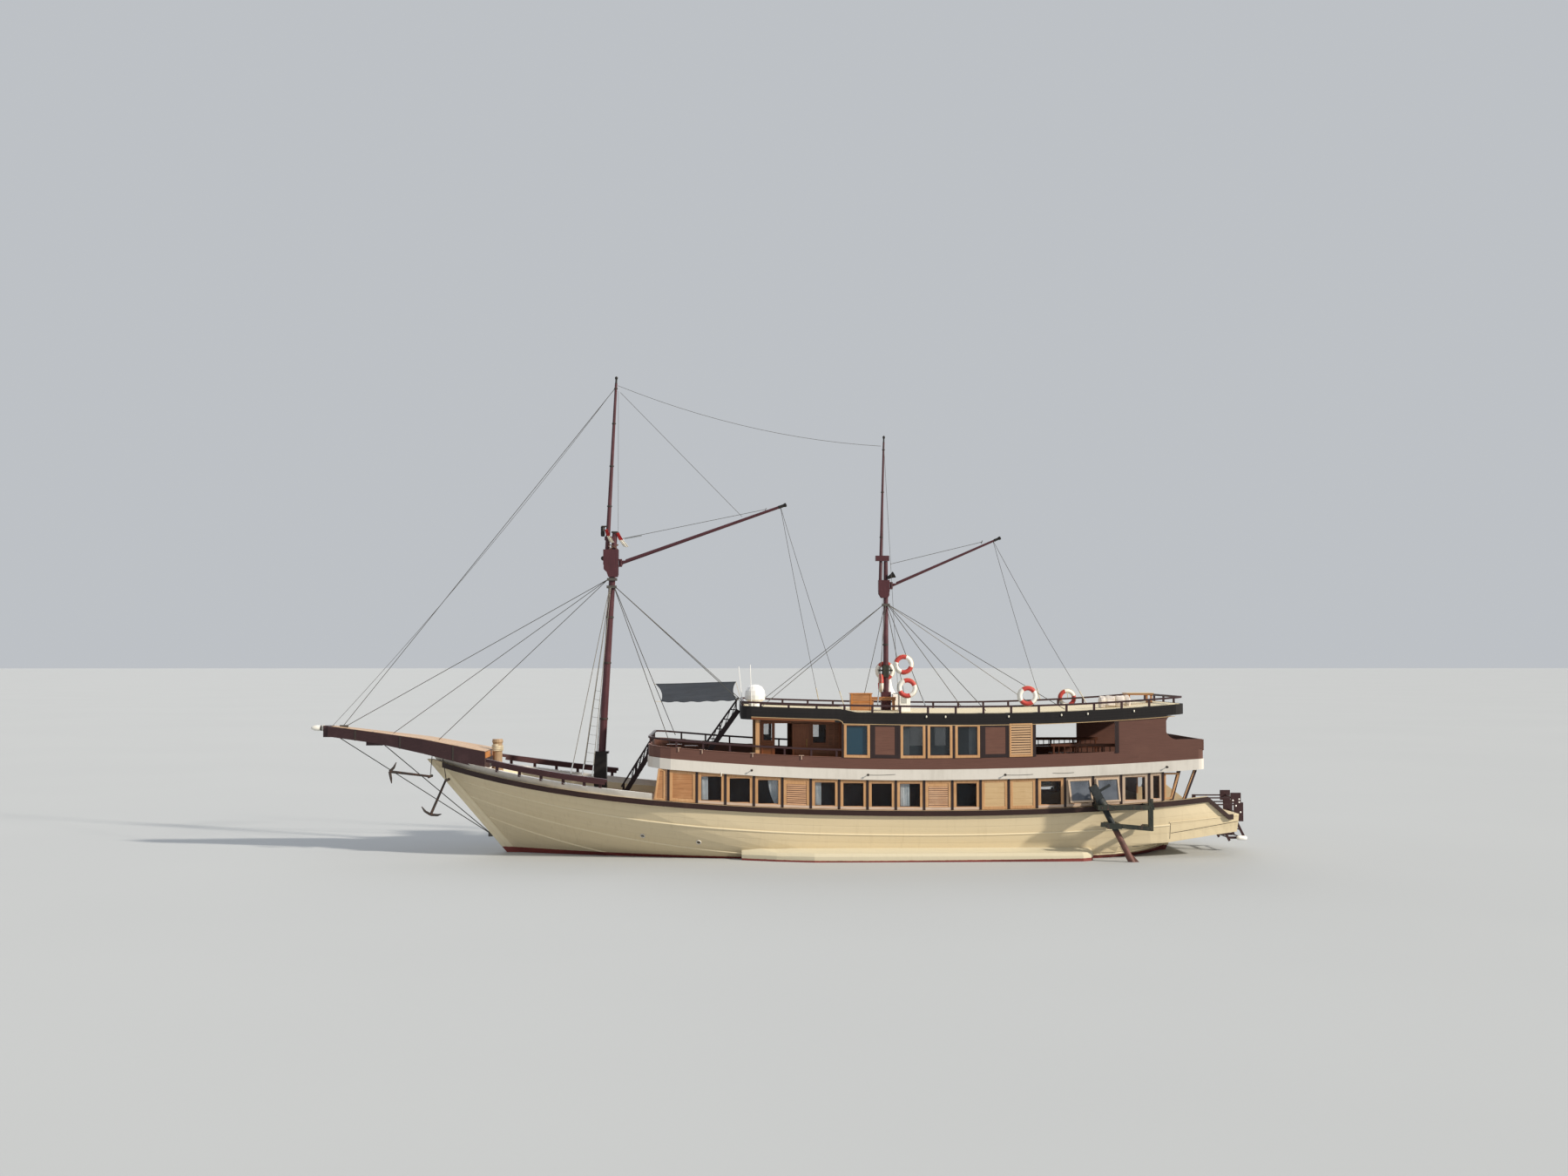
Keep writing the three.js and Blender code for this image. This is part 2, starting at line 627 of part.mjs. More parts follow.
const wallFoot = (x) => sheerZ(x) - 40;
const wallHead = (x) => upperDeckZ(x) - BAND_HEIGHT + 40;
const lowerWallOutline = [
  ...lineAlong(LOWER_WALL_AFT_X, 6930, wallFoot),
  ...lineAlong(6690, LOWER_WALL_AFT_X, wallHead),
];
const lowerWindows = lowerHoles(["window", "open"], 150, 140);
const lowerWall = platePlan(lowerWallOutline, lowerWindows, LOWER_WALL_Y - WALL, LOWER_WALL_Y)
  .subtract(hullCutter)
  .subtract(upperDeckCutter);
addPair("main_house_wall", lowerWall, "honey");

const GLASS = 14;
const glassOutline = [
  ...lineAlong(-12200, 5250, (x) => sheerZ(x) + 70),
  ...lineAlong(5250, -12200, (x) => upperDeckZ(x) - BAND_HEIGHT - 70),
];
const lowerGlass = platePlan(glassOutline, lowerHoles(["open"], 60, 100),
  LOWER_WALL_Y - WALL - SEAT - GLASS, LOWER_WALL_Y - WALL - SEAT);
addPair("main_house_glass", lowerGlass, "glass");

// Sloping front of the main house and its flat aft end with a doorway.
const houseInnerY = LOWER_WALL_Y - WALL - SEAT;
const frontOutline = [[6870, 1000], [6930, 1000], [6690, 3600], [6630, 3600]];
const houseFront = platePlan(frontOutline, [], -houseInnerY, houseInnerY)
  .subtract(hullCutter)
  .subtract(upperDeckCutter);
add("main_house_front", biggest(houseFront), "honey");
const houseAftHalf = houseInnerY - GLASS - 1;
const houseAft = box(CABIN_AFT_X - WALL, CABIN_AFT_X, -houseAftHalf, houseAftHalf, 900, 3600)
  .subtract(box(-13000, -12000, -SALOON_DOORWAY.half, SALOON_DOORWAY.half, 900, SALOON_DOORWAY.head))
  .subtract(hullCutter)
  .subtract(upperDeckCutter);
add("main_house_aft", biggest(houseAft), "honey");

// Cabin partitions: one along the middle and three across.
const partitionY = houseInnerY - GLASS - 2;
const partitions = join([
  box(-7400, 6200, -30, 30, 900, 3800),
  ...[2000, -3310, -7420].map((x) => box(x - 30, x + 30, -partitionY, partitionY, 900, 3800)),
]).subtract(hullCutter).subtract(upperDeckCutter);
add("cabin_partitions", biggest(partitions), "honey");

// Open rail over the bulwark round the forward terrace.
const UPPER_RAIL_TOP = 740;
function makeUpperRail() {
  const head = (x) => upperDeckZ(x) + UPPER_RAIL_TOP;
  const foot = (x) => head(x) - 70;
  const ring = layer(UPPER_DECK, BULWARK_INSET - 15, foot, head)
    .subtract(layer(UPPER_DECK, BULWARK_INSET + WALL + 15, (x) => foot(x) - 50, (x) => head(x) + 50))
    .intersect(box(-130, 9000, -4000, 4000, 0, 9000));
  const pieces = [ring];
  const y = UPPER_DECK.half - BULWARK_INSET - WALL / 2;
  for (const x of [6050, 5050, 4050, 2000, 1000, 50]) {
    for (const side of [1, -1]) {
      pieces.push(box(x - 35, x + 35, side * y - 30, side * y + 30, upperDeckZ(x) + 350, head(x) - 30));
    }
  }
  const frontX = UPPER_DECK.fwd - BULWARK_INSET - WALL / 2;
  for (const frontY of [-1800, -600, 600, 1800]) {
    const foot = upperDeckZ(frontX) + 350;
    pieces.push(box(frontX - 30, frontX + 30, frontY - 35, frontY + 35, foot, head(frontX) - 30));
  }
  return join(pieces).subtract(upperBulwarkCutter);
}
const upperRail = makeUpperRail();
add("upper_rail", upperRail, "darkWood");

// Upper house side walls, with the veranda opening and the swept aft end.
const UPPER_WALL_FWD_X = -150;
const UPPER_OPENINGS = [
  { aft: -1200, fwd: -220 }, { aft: -3290, fwd: -2350 }, { aft: -4310, fwd: -3370 }, { aft: -5350, fwd: -4410 },
];
const VERANDA = { aft: -10480, fwd: -7470 };
const upperSill = (x) => upperDeckZ(x) + BULWARK_HEIGHT;
const upperHead = (x) => roofZ(x) - ROOF_DEPTH;
function sweptEnd() {
  const points = [];
  const centre = { x: -12850, z: 4960 };
  for (let i = 0; i <= 6; i++) {
    const turn = -0.12 * Math.PI - (i / 6) * 0.44 * Math.PI;
    points.push([centre.x + 450 * Math.cos(turn), centre.z + 450 * Math.sin(turn)]);
  }
  return [...points, [-13780, STERN_BULWARK_TOP + 20]];
}
const upperWallOutline = [
  ...lineAlong(-13810, UPPER_WALL_FWD_X, (x) => upperSill(x) - 40),
  ...lineAlong(UPPER_WALL_FWD_X, -12430, (x) => upperHead(x) + 40),
  ...sweptEnd(),
];
const upperHoles = UPPER_OPENINGS.map(({ aft, fwd }) => {
  const centre = (aft + fwd) / 2;
  return rectangle(aft + 100, fwd - 100, upperSill(centre) + 120, upperHead(centre) - 120);
});
upperHoles.push([
  ...lineAlong(VERANDA.aft, VERANDA.fwd, (x) => upperSill(x) + 60),
  ...lineAlong(VERANDA.fwd, VERANDA.aft, (x) => upperHead(x) - 60),
]);
const upperWall = platePlan(upperWallOutline, upperHoles, UPPER_WALL_Y - WALL, UPPER_WALL_Y)
  .subtract(upperBulwarkCutter)
  .subtract(roofCutter);
addPair("upper_house_wall", upperWall, "brown");

const upperInnerY = UPPER_WALL_Y - WALL - SEAT;
const upperGlassOutline = [
  ...lineAlong(-5450, -230, (x) => upperSill(x) + 60),
  ...lineAlong(-230, -5450, (x) => upperHead(x) - 60),
];
const upperGlass = platePlan(upperGlassOutline, [], upperInnerY - GLASS, upperInnerY);
addPair("upper_house_glass", upperGlass, "glass");

// Bulkhead between the upper cabins and the veranda.
const verandaBulkhead = box(-7430, -7370, -upperInnerY, upperInnerY, 3300, 5600)
  .subtract(box(-7600, -7200, -400, 400, upperDeckZ(-7400) + 60, upperHead(-7400) - 130))
  .subtract(upperDeckCutter).subtract(upperBulwarkCutter).subtract(roofCutter);
add("veranda_bulkhead", biggest(verandaBulkhead), "honey");

// Wheelhouse: narrower than the cabins behind it, with a side deck past each door.
const WHEELHOUSE = { fwd: 2900, aft: -150, side: 2450 };
const DOORWAY = { aft: 1680, fwd: 2340 };
const doorwayFoot = upperDeckZ(2000) + 60;
const doorwayHead = upperHead(2000) - 130;
// Each door turns on an upright pin just outside the wall, held by a bracket above and below it.
const HINGE = { x: DOORWAY.aft, y: WHEELHOUSE.side + 10, radius: 8 };
function makeHingePost(sign) {
  const y = sign * HINGE.y;
  const bracketY = y - sign * 10;
  const bracket = (z0, z1) => box(HINGE.x - 10, HINGE.x + 10, bracketY - 10, bracketY + 10, z0, z1);
  return join([
    spar([HINGE.x, y, doorwayFoot - 30], [HINGE.x, y, doorwayHead + 30], HINGE.radius, HINGE.radius, 16),
    bracket(doorwayFoot - 30, doorwayFoot),
    bracket(doorwayHead, doorwayHead + 30),
  ]);
}
function makeWheelhouse() {
  const { fwd, aft, side } = WHEELHOUSE;
  const foot = 3300;
  const head = 5600;
  const sideOutline = rectangle(aft, fwd, foot, head);
  const sideHoles = [
    rectangle(DOORWAY.aft, DOORWAY.fwd, doorwayFoot, doorwayHead),
    rectangle(2440, 2780, 4450, doorwayHead),
    rectangle(380, 900, 4350, doorwayHead - 40),
  ];
  const walls = [1, -1].map((sign) => platePlan(sideOutline, sideHoles,
    sign > 0 ? side - WALL : -side, sign > 0 ? side : WALL - side));
  const hinges = [1, -1].map((sign) => makeHingePost(sign));
  let front = box(fwd - WALL, fwd, -side, side, foot, head);
  for (const y of [-1560, 0, 1560]) {
    front = front.subtract(box(fwd - 200, fwd + 200, y - 640, y + 640, 4380, doorwayHead));
  }
  let back = box(aft - WALL, aft, -upperInnerY + GLASS + 1, upperInnerY - GLASS - 1, foot, head);
  back = back.subtract(box(aft - 300, aft + 300, -400, 400, upperDeckZ(aft) + 60, doorwayHead - 60));
  return biggest(join([...walls, ...hinges, front, back])
    .subtract(upperDeckCutter).subtract(upperBulwarkCutter).subtract(roofCutter));
}
add("wheelhouse", makeWheelhouse(), "honey");
const windscreenX = WHEELHOUSE.fwd - WALL - SEAT;
const wheelhouseGlass = box(windscreenX - GLASS, windscreenX, -2380, 2380, 4330, 5150);
add("wheelhouse_glass", wheelhouseGlass, "glass");

// Wheelhouse doors, folded back flat against the wall abaft the doorway.
const DOOR = 40;
const DOOR_GAP = 20;
const doorFaceY = WHEELHOUSE.side + DOOR_GAP;
const doorHeights = [doorwayFoot + 15, doorwayHead - 15];
const doorLeaf = box(DOORWAY.aft - 650, DOORWAY.aft - 15, doorFaceY, doorFaceY + DOOR, ...doorHeights);
const doorKnuckle = box(DOORWAY.aft - 30, DOORWAY.aft - 4, doorFaceY - 15, doorFaceY + 5, ...doorHeights);
const hingeRoom = spar([HINGE.x, HINGE.y, doorwayFoot - 50], [HINGE.x, HINGE.y, doorwayHead + 50],
  HINGE.radius + SEAT, HINGE.radius + SEAT, 16);
addPair("wheelhouse_door", doorLeaf.add(doorKnuckle).subtract(hingeRoom), "honey");

// Rail round the roof on short posts.
function makeRoofRail() {
  const head = (x) => roofZ(x) + 290;
  const foot = (x) => head(x) - 70;
  const ring = layer(ROOF, 40, foot, head)
    .subtract(layer(ROOF, 130, (x) => foot(x) - 50, (x) => head(x) + 50));
  const pieces = [ring];
  const y = ROOF.half - 85;
  for (let x = 2900; x > -12800; x -= 1050) {
    for (const side of [1, -1]) {
      pieces.push(box(x - 40, x + 40, side * y - 35, side * y + 35, roofZ(x) - 20, head(x) - 30));
    }
  }
  for (const endX of [ROOF.fwd - 85, ROOF.aft + 85]) {
    for (const endY of [-2200, -700, 700, 2200]) {
      pieces.push(box(endX - 35, endX + 35, endY - 40, endY + 40, roofZ(endX) - 20, head(endX) - 30));
    }
  }
  return join(pieces).subtract(roofCutter);
}
const roofRail = biggest(makeRoofRail());
add("roof_rail", roofRail, "darkWood");

// Stairs: two stringers, treads and a handrail each side.
const HANDRAIL = 480;
function makeStair({ foot, head, y, half, rise }) {
  const pieces = [];
  for (const side of [-1, 1]) {
    pieces.push(timber(foot, head, 180, 40, y + side * half));
    const lift = (point) => [point[0], point[1] + HANDRAIL];
    pieces.push(timber(lift(foot), lift(head), 60, 40, y + side * half));
    for (const part of [0.06, 0.5, 0.94]) {
      const x = mix(foot[0], head[0], part);
      const z = mix(foot[1], head[1], part);
      pieces.push(box(x - 25, x + 25, y + side * half - 20, y + side * half + 20, z, z + HANDRAIL));
    }
  }
  const treads = Math.round((head[1] - foot[1]) / rise);
  for (let i = 1; i < treads; i++) {
    const x = mix(foot[0], head[0], i / treads);
    const z = mix(foot[1], head[1], i / treads);
    pieces.push(box(x - 110, x + 110, y - half, y + half, z - 18, z + 18));
  }
  return join(pieces);
}
const roofStair = makeStair({ foot: [5150, 3560], head: [3720, 5560], y: 900, half: 330, rise: 230 })
  .subtract(upperDeckCutter)
  .subtract(roof.translate([SEAT, 0, 0]));
add("roof_stair", biggest(roofStair), "darkWood");
const foredeckStair = makeStair({ foot: [8350, 2000], head: [7230, 3800], y: -900, half: 330, rise: 230 })
  .subtract(hullCutter)
  .subtract(upperDeckCutter)
  .subtract(upperBulwarkCutter);
add("foredeck_stair", biggest(foredeckStair), "darkWood");

// A gooseneck behind a mast: an upright pin between two plates, on which a gaff's eye turns.
const FORE_PIN = { x: 8370, low: 11250, high: 11450, eye: 75, toMast: 8600 };
const MAIN_PIN = { x: -2375, low: 10380, high: 10560, eye: 62, toMast: -2200 };
const PIN_RADIUS = 30;
const PLATE = 55;
const PLATE_GAP = 2;
function makeGooseneck({ x, low, high, toMast }) {
  return join([
    spar([x, 0, low - PLATE], [x, 0, high + PLATE], PIN_RADIUS, PIN_RADIUS, 16),
    box(x - 45, toMast, -60, 60, low - PLATE, low),
    box(x - 45, toMast, -60, 60, high, high + PLATE),
  ]);
}

// Cheek block at a lower masthead, forward of centre to take the topmast, tapering down to the mast.
function makeCheeks(mastX, bottom, top, forward, half) {
  const x = mastX((bottom + top) / 2);
  const rear = Math.round(forward * 0.7);
  const block = box(x - rear, x + forward + 90, -half, half, bottom + 200, top);
  const shoulder = box(x - rear * 0.7, x + forward * 0.75, -half * 0.8, half * 0.8, bottom, bottom + 210);
  return join([block, shoulder]);
}

// Foremast, stepped on the foredeck, raked aft.
const FORE_FOOT = [9130, 3000];
const FORE_HEAD = [8610, 12560];
const foreX = (z) => mix(FORE_FOOT[0], FORE_HEAD[0], (z - FORE_FOOT[1]) / (FORE_HEAD[1] - FORE_FOOT[1]));
const foreMast = join([
  box(foreX(3000) - 240, foreX(3000) + 240, -240, 240, 2000, 3860),
  box(foreX(3900) - 265, foreX(3900) + 265, -265, 265, 3840, 3930),
  spar([foreX(3800), 0, 3800], [foreX(10900), 0, 10900], 150, 128, 12),
  spar([foreX(10900), 0, 10900], [FORE_HEAD[0], 0, FORE_HEAD[1]], 128, 100, 12),
  makeCheeks(foreX, 11080, 11880, 300, 190),
  makeGooseneck(FORE_PIN),
]).subtract(hullCutter);
add("fore_mast", foreMast, "darkWood");


// Fore topmast ahead of the lower masthead, held to it by a cap.
const foreTopmast = join([
  spar([8910, 0, 11880 + SEAT], [8590, 0, 18500], 92, 52, 10),
  spar([8590, 0, 18480], [8578, 0, 18790], 34, 20, 8),
  box(8600, 9010, -110, 110, 12250, 12400),
]);
const foreMastheadRoom = spar([foreX(12000), 0, 12000], [foreX(12800), 0, 12800], 108, 108, 12);
const foreTopmastWhole = biggest(foreTopmast
  .subtract(foreMast.translate([0, 0, SEAT]))
  .subtract(foreMastheadRoom));
add("fore_topmast", foreTopmastWhole, "darkWood");

// Mainmast, stepped on the roof.
const MAIN_FOOT = [-2140, 5500];
const MAIN_HEAD = [-2150, 11440];
const mainX = (z) => mix(MAIN_FOOT[0], MAIN_HEAD[0], (z - MAIN_FOOT[1]) / (MAIN_HEAD[1] - MAIN_FOOT[1]));
const mainMast = join([
  box(mainX(5600) - 190, mainX(5600) + 190, -190, 190, 5400, 6250),
  spar([mainX(5500), 0, 5600], [mainX(10100), 0, 10100], 115, 92, 12),
  spar([mainX(10100), 0, 10100], [MAIN_HEAD[0], 0, MAIN_HEAD[1]], 92, 80, 12),
  makeCheeks(mainX, 10030, 10690, 210, 150),
  makeGooseneck(MAIN_PIN),
]).subtract(roofCutter);
add("main_mast", mainMast, "darkWood");
const mainTopmast = join([
  spar([-1930, 0, 10690 + SEAT], [-2080, 0, 16200], 66, 38, 10),
  spar([-2080, 0, 16180], [-2088, 0, 16470], 24, 16, 8),
  box(-2280, -1740, -120, 120, 11450, 11660),
]);
add("main_topmast", biggest(mainTopmast.subtract(mainMast.translate([0, 0, SEAT]))), "darkWood");

// Gaffs: the eye at the heel sits on the gooseneck's lower plate.
function makeGaff({ x, low, high, eye }, tip, radius) {
  const heelZ = (low + high) / 2;
  const reach = Math.hypot(tip[0] - x, tip[1] - heelZ);
  const start = [x + ((tip[0] - x) / reach) * 55, 0, heelZ + ((tip[1] - heelZ) / reach) * 55];
  const turning = (z0, z1) => spar([x, 0, z0], [x, 0, z1], 190, 190, 24);
  return join([
    spar(start, [tip[0], 0, tip[1]], radius, radius * 0.72, 10),
    spar([x, 0, low + SEAT], [x, 0, high - PLATE_GAP], eye, eye, 16),
  ])
    .subtract(turning(low - 400, low + SEAT))
    .subtract(turning(high - PLATE_GAP, high + 260))
    .subtract(spar([x, 0, low - 100], [x, 0, high + 100], PIN_RADIUS + 1, PIN_RADIUS + 1, 16));
}
add("fore_gaff", biggest(makeGaff(FORE_PIN, [1870, 13670], 78)), "darkWood");
add("main_gaff", biggest(makeGaff(MAIN_PIN, [-6700, 12370], 62)), "darkWood");

// A band round a mast that gathers stays, with the stays themselves.
function makeStays({ mast, bandX, bandZ, half, ends, radius }) {
  const band = box(bandX - half, bandX + half, -half, half, bandZ - 50, bandZ + 50);
  const pieces = [band];
  for (const end of ends) {
    const reach = new THREE.Vector3(end[0] - bandX, end[1], 0).normalize().multiplyScalar(half - 25);
    pieces.push(spar([bandX + reach.x, reach.y, bandZ], end, radius, radius, 6));
  }
  return join(pieces).subtract(mast);
}
// The room that a band leaves for its mast at a height.
function mastRoom(mastX, z, radius) {
  return spar([mastX(z - 400), 0, z - 400], [mastX(z + 400), 0, z + 400], radius, radius, 12);
}
const foreStayEnds = [[19300, 0, 4800], [17300, 0, 4600], [15500, 0, 4350]];
const lowerForeStays = makeStays({
  mast: mastRoom(foreX, 10700, 129.5), bandX: foreX(10700), bandZ: 10700, half: 190,
  ends: foreStayEnds, radius: 14,
});
// The topmast's own stay comes down to one plate on the platform with the longest lower stay.
const TOPMAST_STAY = { topX: 8597, topZ: 18350, radius: 12 };
const topmastStay = spar([TOPMAST_STAY.topX, 0, TOPMAST_STAY.topZ], foreStayEnds[0], TOPMAST_STAY.radius,
  TOPMAST_STAY.radius, 6);
const stayPlate = box(19000, 19330, -20, 20, 4830, 4965);
const foreStays = biggest(join([lowerForeStays, topmastStay, stayPlate])
  .subtract(sprit.translate([0, 0, SEAT])).subtract(sprit)
  .subtract(foreTopmastWhole.translate([SEAT, 0, 0])).subtract(foreTopmastWhole));
add("forestays", foreStays, "steel");
const foreBackstayEnds = [[6300, 3360, 4400], [6300, -3360, 4400], [3500, 2600, 5800], [3500, -2600, 5800]];
// Shrouds stand on the fore rail's cap.
for (const x of [10020, 9580, 9200]) {
  for (const side of [1, -1]) {
    foreBackstayEnds.push([x, side * (topHalfBreadth(x) - 45), sheerZ(x) + RAIL_TOP - RAIL_CAP / 2]);
  }
}
const makeForeBackstays = (radius) => makeStays({
  mast: mastRoom(foreX, 10400, 130.4), bandX: foreX(10400), bandZ: 10400, half: 190,
  ends: foreBackstayEnds, radius,
});
const STAY_RADIUS = 14;
add("fore_backstays", biggest(makeForeBackstays(STAY_RADIUS)
  .subtract(upperRail.translate([0, 0, SEAT])).subtract(upperRail)
  .subtract(roofRail.translate([0, 0, SEAT])).subtract(roofRail)
  .subtract(foreRails.translate([0, 0, SEAT])).subtract(foreRails)
  .subtract(roofCutter)), "steel");
const mainStayEnds = [[2900, 2800, 5700], [2900, -2800, 5700], [-5600, 3330, 5600], [-5600, -3330, 5600],
  [-8600, 3330, 5650], [-8600, -3330, 5650]];
// Shrouds stand on the roof rail.
for (const x of [-1500, -3300]) {
  for (const side of [1, -1]) mainStayEnds.push([x, side * 3395, roofZ(x) + 255]);
}
const mainStays = makeStays({
  mast: mastRoom(mainX, 9700, 94.7), bandX: mainX(9700), bandZ: 9700, half: 150,
  ends: mainStayEnds, radius: 13,
});
add("main_stays", biggest(mainStays
  .subtract(roofRail.translate([0, 0, SEAT])).subtract(roofRail)
  .subtract(roofCutter)), "steel");

// Cloth awning ahead of the roof, higher to starboard.
function makeAwning() {
  const table = [
    { x: 3760, port: 5990, starboard: 6560 },
    { x: 4900, port: 5955, starboard: 6530 },
    { x: 5900, port: 5930, starboard: 6510 },
    { x: 6800, port: 5940, starboard: 6520 },
  ];
  const sections = table.map(({ x, port, starboard }) => ({
    x,
    ring: [[2480, port - 14], [2480, port], [-2250, starboard], [-2250, starboard - 14]],
  }));
  return biggest(loftAlong(sections).subtract(makeForeBackstays(STAY_RADIUS + 2 * SEAT)));
}
add("awning", makeAwning(), "cloth");

// Equipment on the roof.
const RADOME_PROFILE = [
  [0, 5620], [250, 5620], [250, 5900], [385, 5980], [400, 6150], [370, 6330], [270, 6480], [130, 6550], [0, 6565],
];
const radome = turned(RADOME_PROFILE, 3080, 1500, 18);
add("radome", radome.subtract(roofCutter), "white");
const acUnit = box(-2900, -2500, 1150, 1950, 5400, 6190);
add("ac_unit", acUnit.subtract(roofCutter), "white");
function makeTable({ x0, x1, y0, y1, top, thick }) {
  const legs = [];
  for (const x of [x0 + 60, x1 - 60]) {
    for (const y of [y0 + 60, y1 - 60]) legs.push(box(x - 35, x + 35, y - 35, y + 35, 5550, top - thick / 2));
  }
  return biggest(join([box(x0, x1, y0, y1, top - thick, top), ...legs]).subtract(roofCutter));
}
const roofBox = box(-1470, -650, 650, 1250, 5400, 6200).subtract(roofCutter);
const mastBench = makeTable({ x0: -2420, x1: -1460, y0: 650, y1: 1100, top: 6050, thick: 120 });
add("roof_box_and_bench", roofBox.add(mastBench), "honey");
add("roof_table", makeTable({ x0: -12600, x1: -11600, y0: 100, y1: 900, top: 6190, thick: 60 }), "honey");
const cover = spar([-11440, 2000, 5880], [-10200, 2000, 5830], 230, 210, 12);
add("rolled_cover", cover.subtract(roofCutter), "cloth");

// Quarter rudders: each hangs in a timber frame outboard of the hull, on a stock that leans aft.
const STOCK_SLOPE = 0.52;
const STOCK_Y = 4120;
const STOCK_RADIUS = 110;
const STOCK_CLEARANCE = 8;
const COLLAR_TOP_Z = 2210;
const stockX = (z) => -9870 - STOCK_SLOPE * (2030 - z);
const onStock = (z) => [stockX(z), STOCK_Y, z];
function makeRudderFrame() {
  const inner = 3200;
  const outer = 4480;
  const pieces = [
    timber([-9580, 2040], [-11680, 2040], 170, 150, outer - 75),
    timber([-9700, 1420], [-11620, 1250], 160, 150, outer - 75),
    box(-11640, -11470, outer - 150, outer, 1180, 2360),
    box(-11640, -11470, inner, outer, 1960, 2120),
    box(-11640, -11470, inner, outer, 1190, 1340),
    box(stockX(2030) - 230, stockX(2030) + 230, inner, outer, 1950, 2130),
    box(stockX(1330) - 230, stockX(1330) + 230, inner, outer, 1250, 1430),
  ];
  pieces.push(spar(onStock(1960), onStock(COLLAR_TOP_Z), 185, 185, 20));
  const boreRadius = STOCK_RADIUS + STOCK_CLEARANCE;
  const bore = spar(onStock(600), onStock(3000), boreRadius, boreRadius, 24);
  const outboard = box(-13000, -8000, HALF_BEAM_AT_DECK + 3, 6000, 0, 4000);
  return biggest(join(pieces).subtract(bore).subtract(hullSideCutter).subtract(makeStrake(SEAT)).intersect(outboard));
}
addPair("rudder_frame", makeRudderFrame(), "darkWood");

// The rudder: head block and tiller above the frame, round stock through it, blade below.
function makeRudder() {
  const abaft = (z, offset) => [stockX(z) - offset, z];
  const outline = [
    abaft(-150, 300), abaft(-500, 560), abaft(-1600, 620), abaft(-1650, -120), abaft(-1550, -170), abaft(250, -150),
    abaft(250, 150),
  ];
  const blade = platePlan(outline, [], STOCK_Y - 55, STOCK_Y + 55);
  return join([
    spar(onStock(-1400), onStock(2800), STOCK_RADIUS, STOCK_RADIUS, 16),
    spar(onStock(COLLAR_TOP_Z + SEAT), onStock(2330), 175, 175, 20),
    blade,
    timber([stockX(2300), 2300], [stockX(2820), 2820], 300, 260, STOCK_Y),
    timber([stockX(2560), 2560], [stockX(2560) - 520, 2860], 90, 90, STOCK_Y),
  ]);
}
addPair("side_rudder", makeRudder(), "red");

// Propeller behind the shaft boss on the sternpost.
function makePropeller() {
  const hubAft = bossFace - BOSS_LENGTH - SEAT;
  const pieces = [
    spar([hubAft, 0, SHAFT_Z], [hubAft - 240, 0, SHAFT_Z], 92, 76, 14),
    spar([hubAft - 240, 0, SHAFT_Z], [hubAft - 330, 0, SHAFT_Z], 76, 25, 14),
  ];
  for (let i = 0; i < 3; i++) {
    const outline = new THREE.Shape();
    outline.moveTo(-60, 40);
    outline.bezierCurveTo(-230, 220, -190, 480, 0, 520);
    outline.bezierCurveTo(190, 480, 200, 220, 60, 40);
    outline.closePath();
    const geometry = new THREE.ExtrudeGeometry(outline, { depth: 26, bevelEnabled: false, curveSegments: 6 });
    geometry.translate(0, 0, -13);
    geometry.rotateY(THREE.MathUtils.degToRad(62));
    geometry.rotateX(Math.PI / 2 + (i * 2 * Math.PI) / 3);
    geometry.translate(hubAft - 120, 0, SHAFT_Z);
    pieces.push(solid(geometry));
  }
  return join(pieces);
}
add("propeller", makePropeller(), "brass");

// Boarding stage and ladder behind the transom.
function makeSternStage() {
  const pieces = [];
  for (const y of [-700, 700]) {
    pieces.push(box(-16100, -15700, y - 35, y + 35, 1880, 2280));
    pieces.push(box(-16190, -15820, y - 35, y + 35, 1160, 1900));
    pieces.push(timber([-15850, 1300], [-16240, 500], 90, 60, y));
    pieces.push(timber([-15200, 1240], [-15640, 400], 90, 60, y));
    pieces.push(timber([-15560, 520], [-16250, 520], 90, 60, y));
    pieces.push(timber([-14600, 2080], [-15900, 2080], 50, 50, y));
    pieces.push(timber([-15000, 1815], [-15900, 1815], 50, 50, y));
  }
  for (const [x, z] of [[-15900, 2080], [-16000, 1500], [-16080, 830], [-15620, 520], [-16150, 520]]) {
    pieces.push(spar([x, -700, z], [x, 700, z], 28, 28, 8));
  }
  const posts = [-700, 700].map((y) => box(-14700, -14560, y - 40, y + 40, 1500, 2110));
  return join([...pieces, ...posts]).subtract(hullCutter);
}
add("stern_stage", biggest(makeSternStage()), "darkWood");

export default group;
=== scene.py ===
# Liveaboard dive boat, a two-masted wooden motor sailer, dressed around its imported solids.
# Metres, +X to the bow, +Y to port, +Z up, with the origin at the waterline amidships.
import json
import math

import bpy
import numpy as np
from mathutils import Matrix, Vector
from mathutils.bvhtree import BVHTree

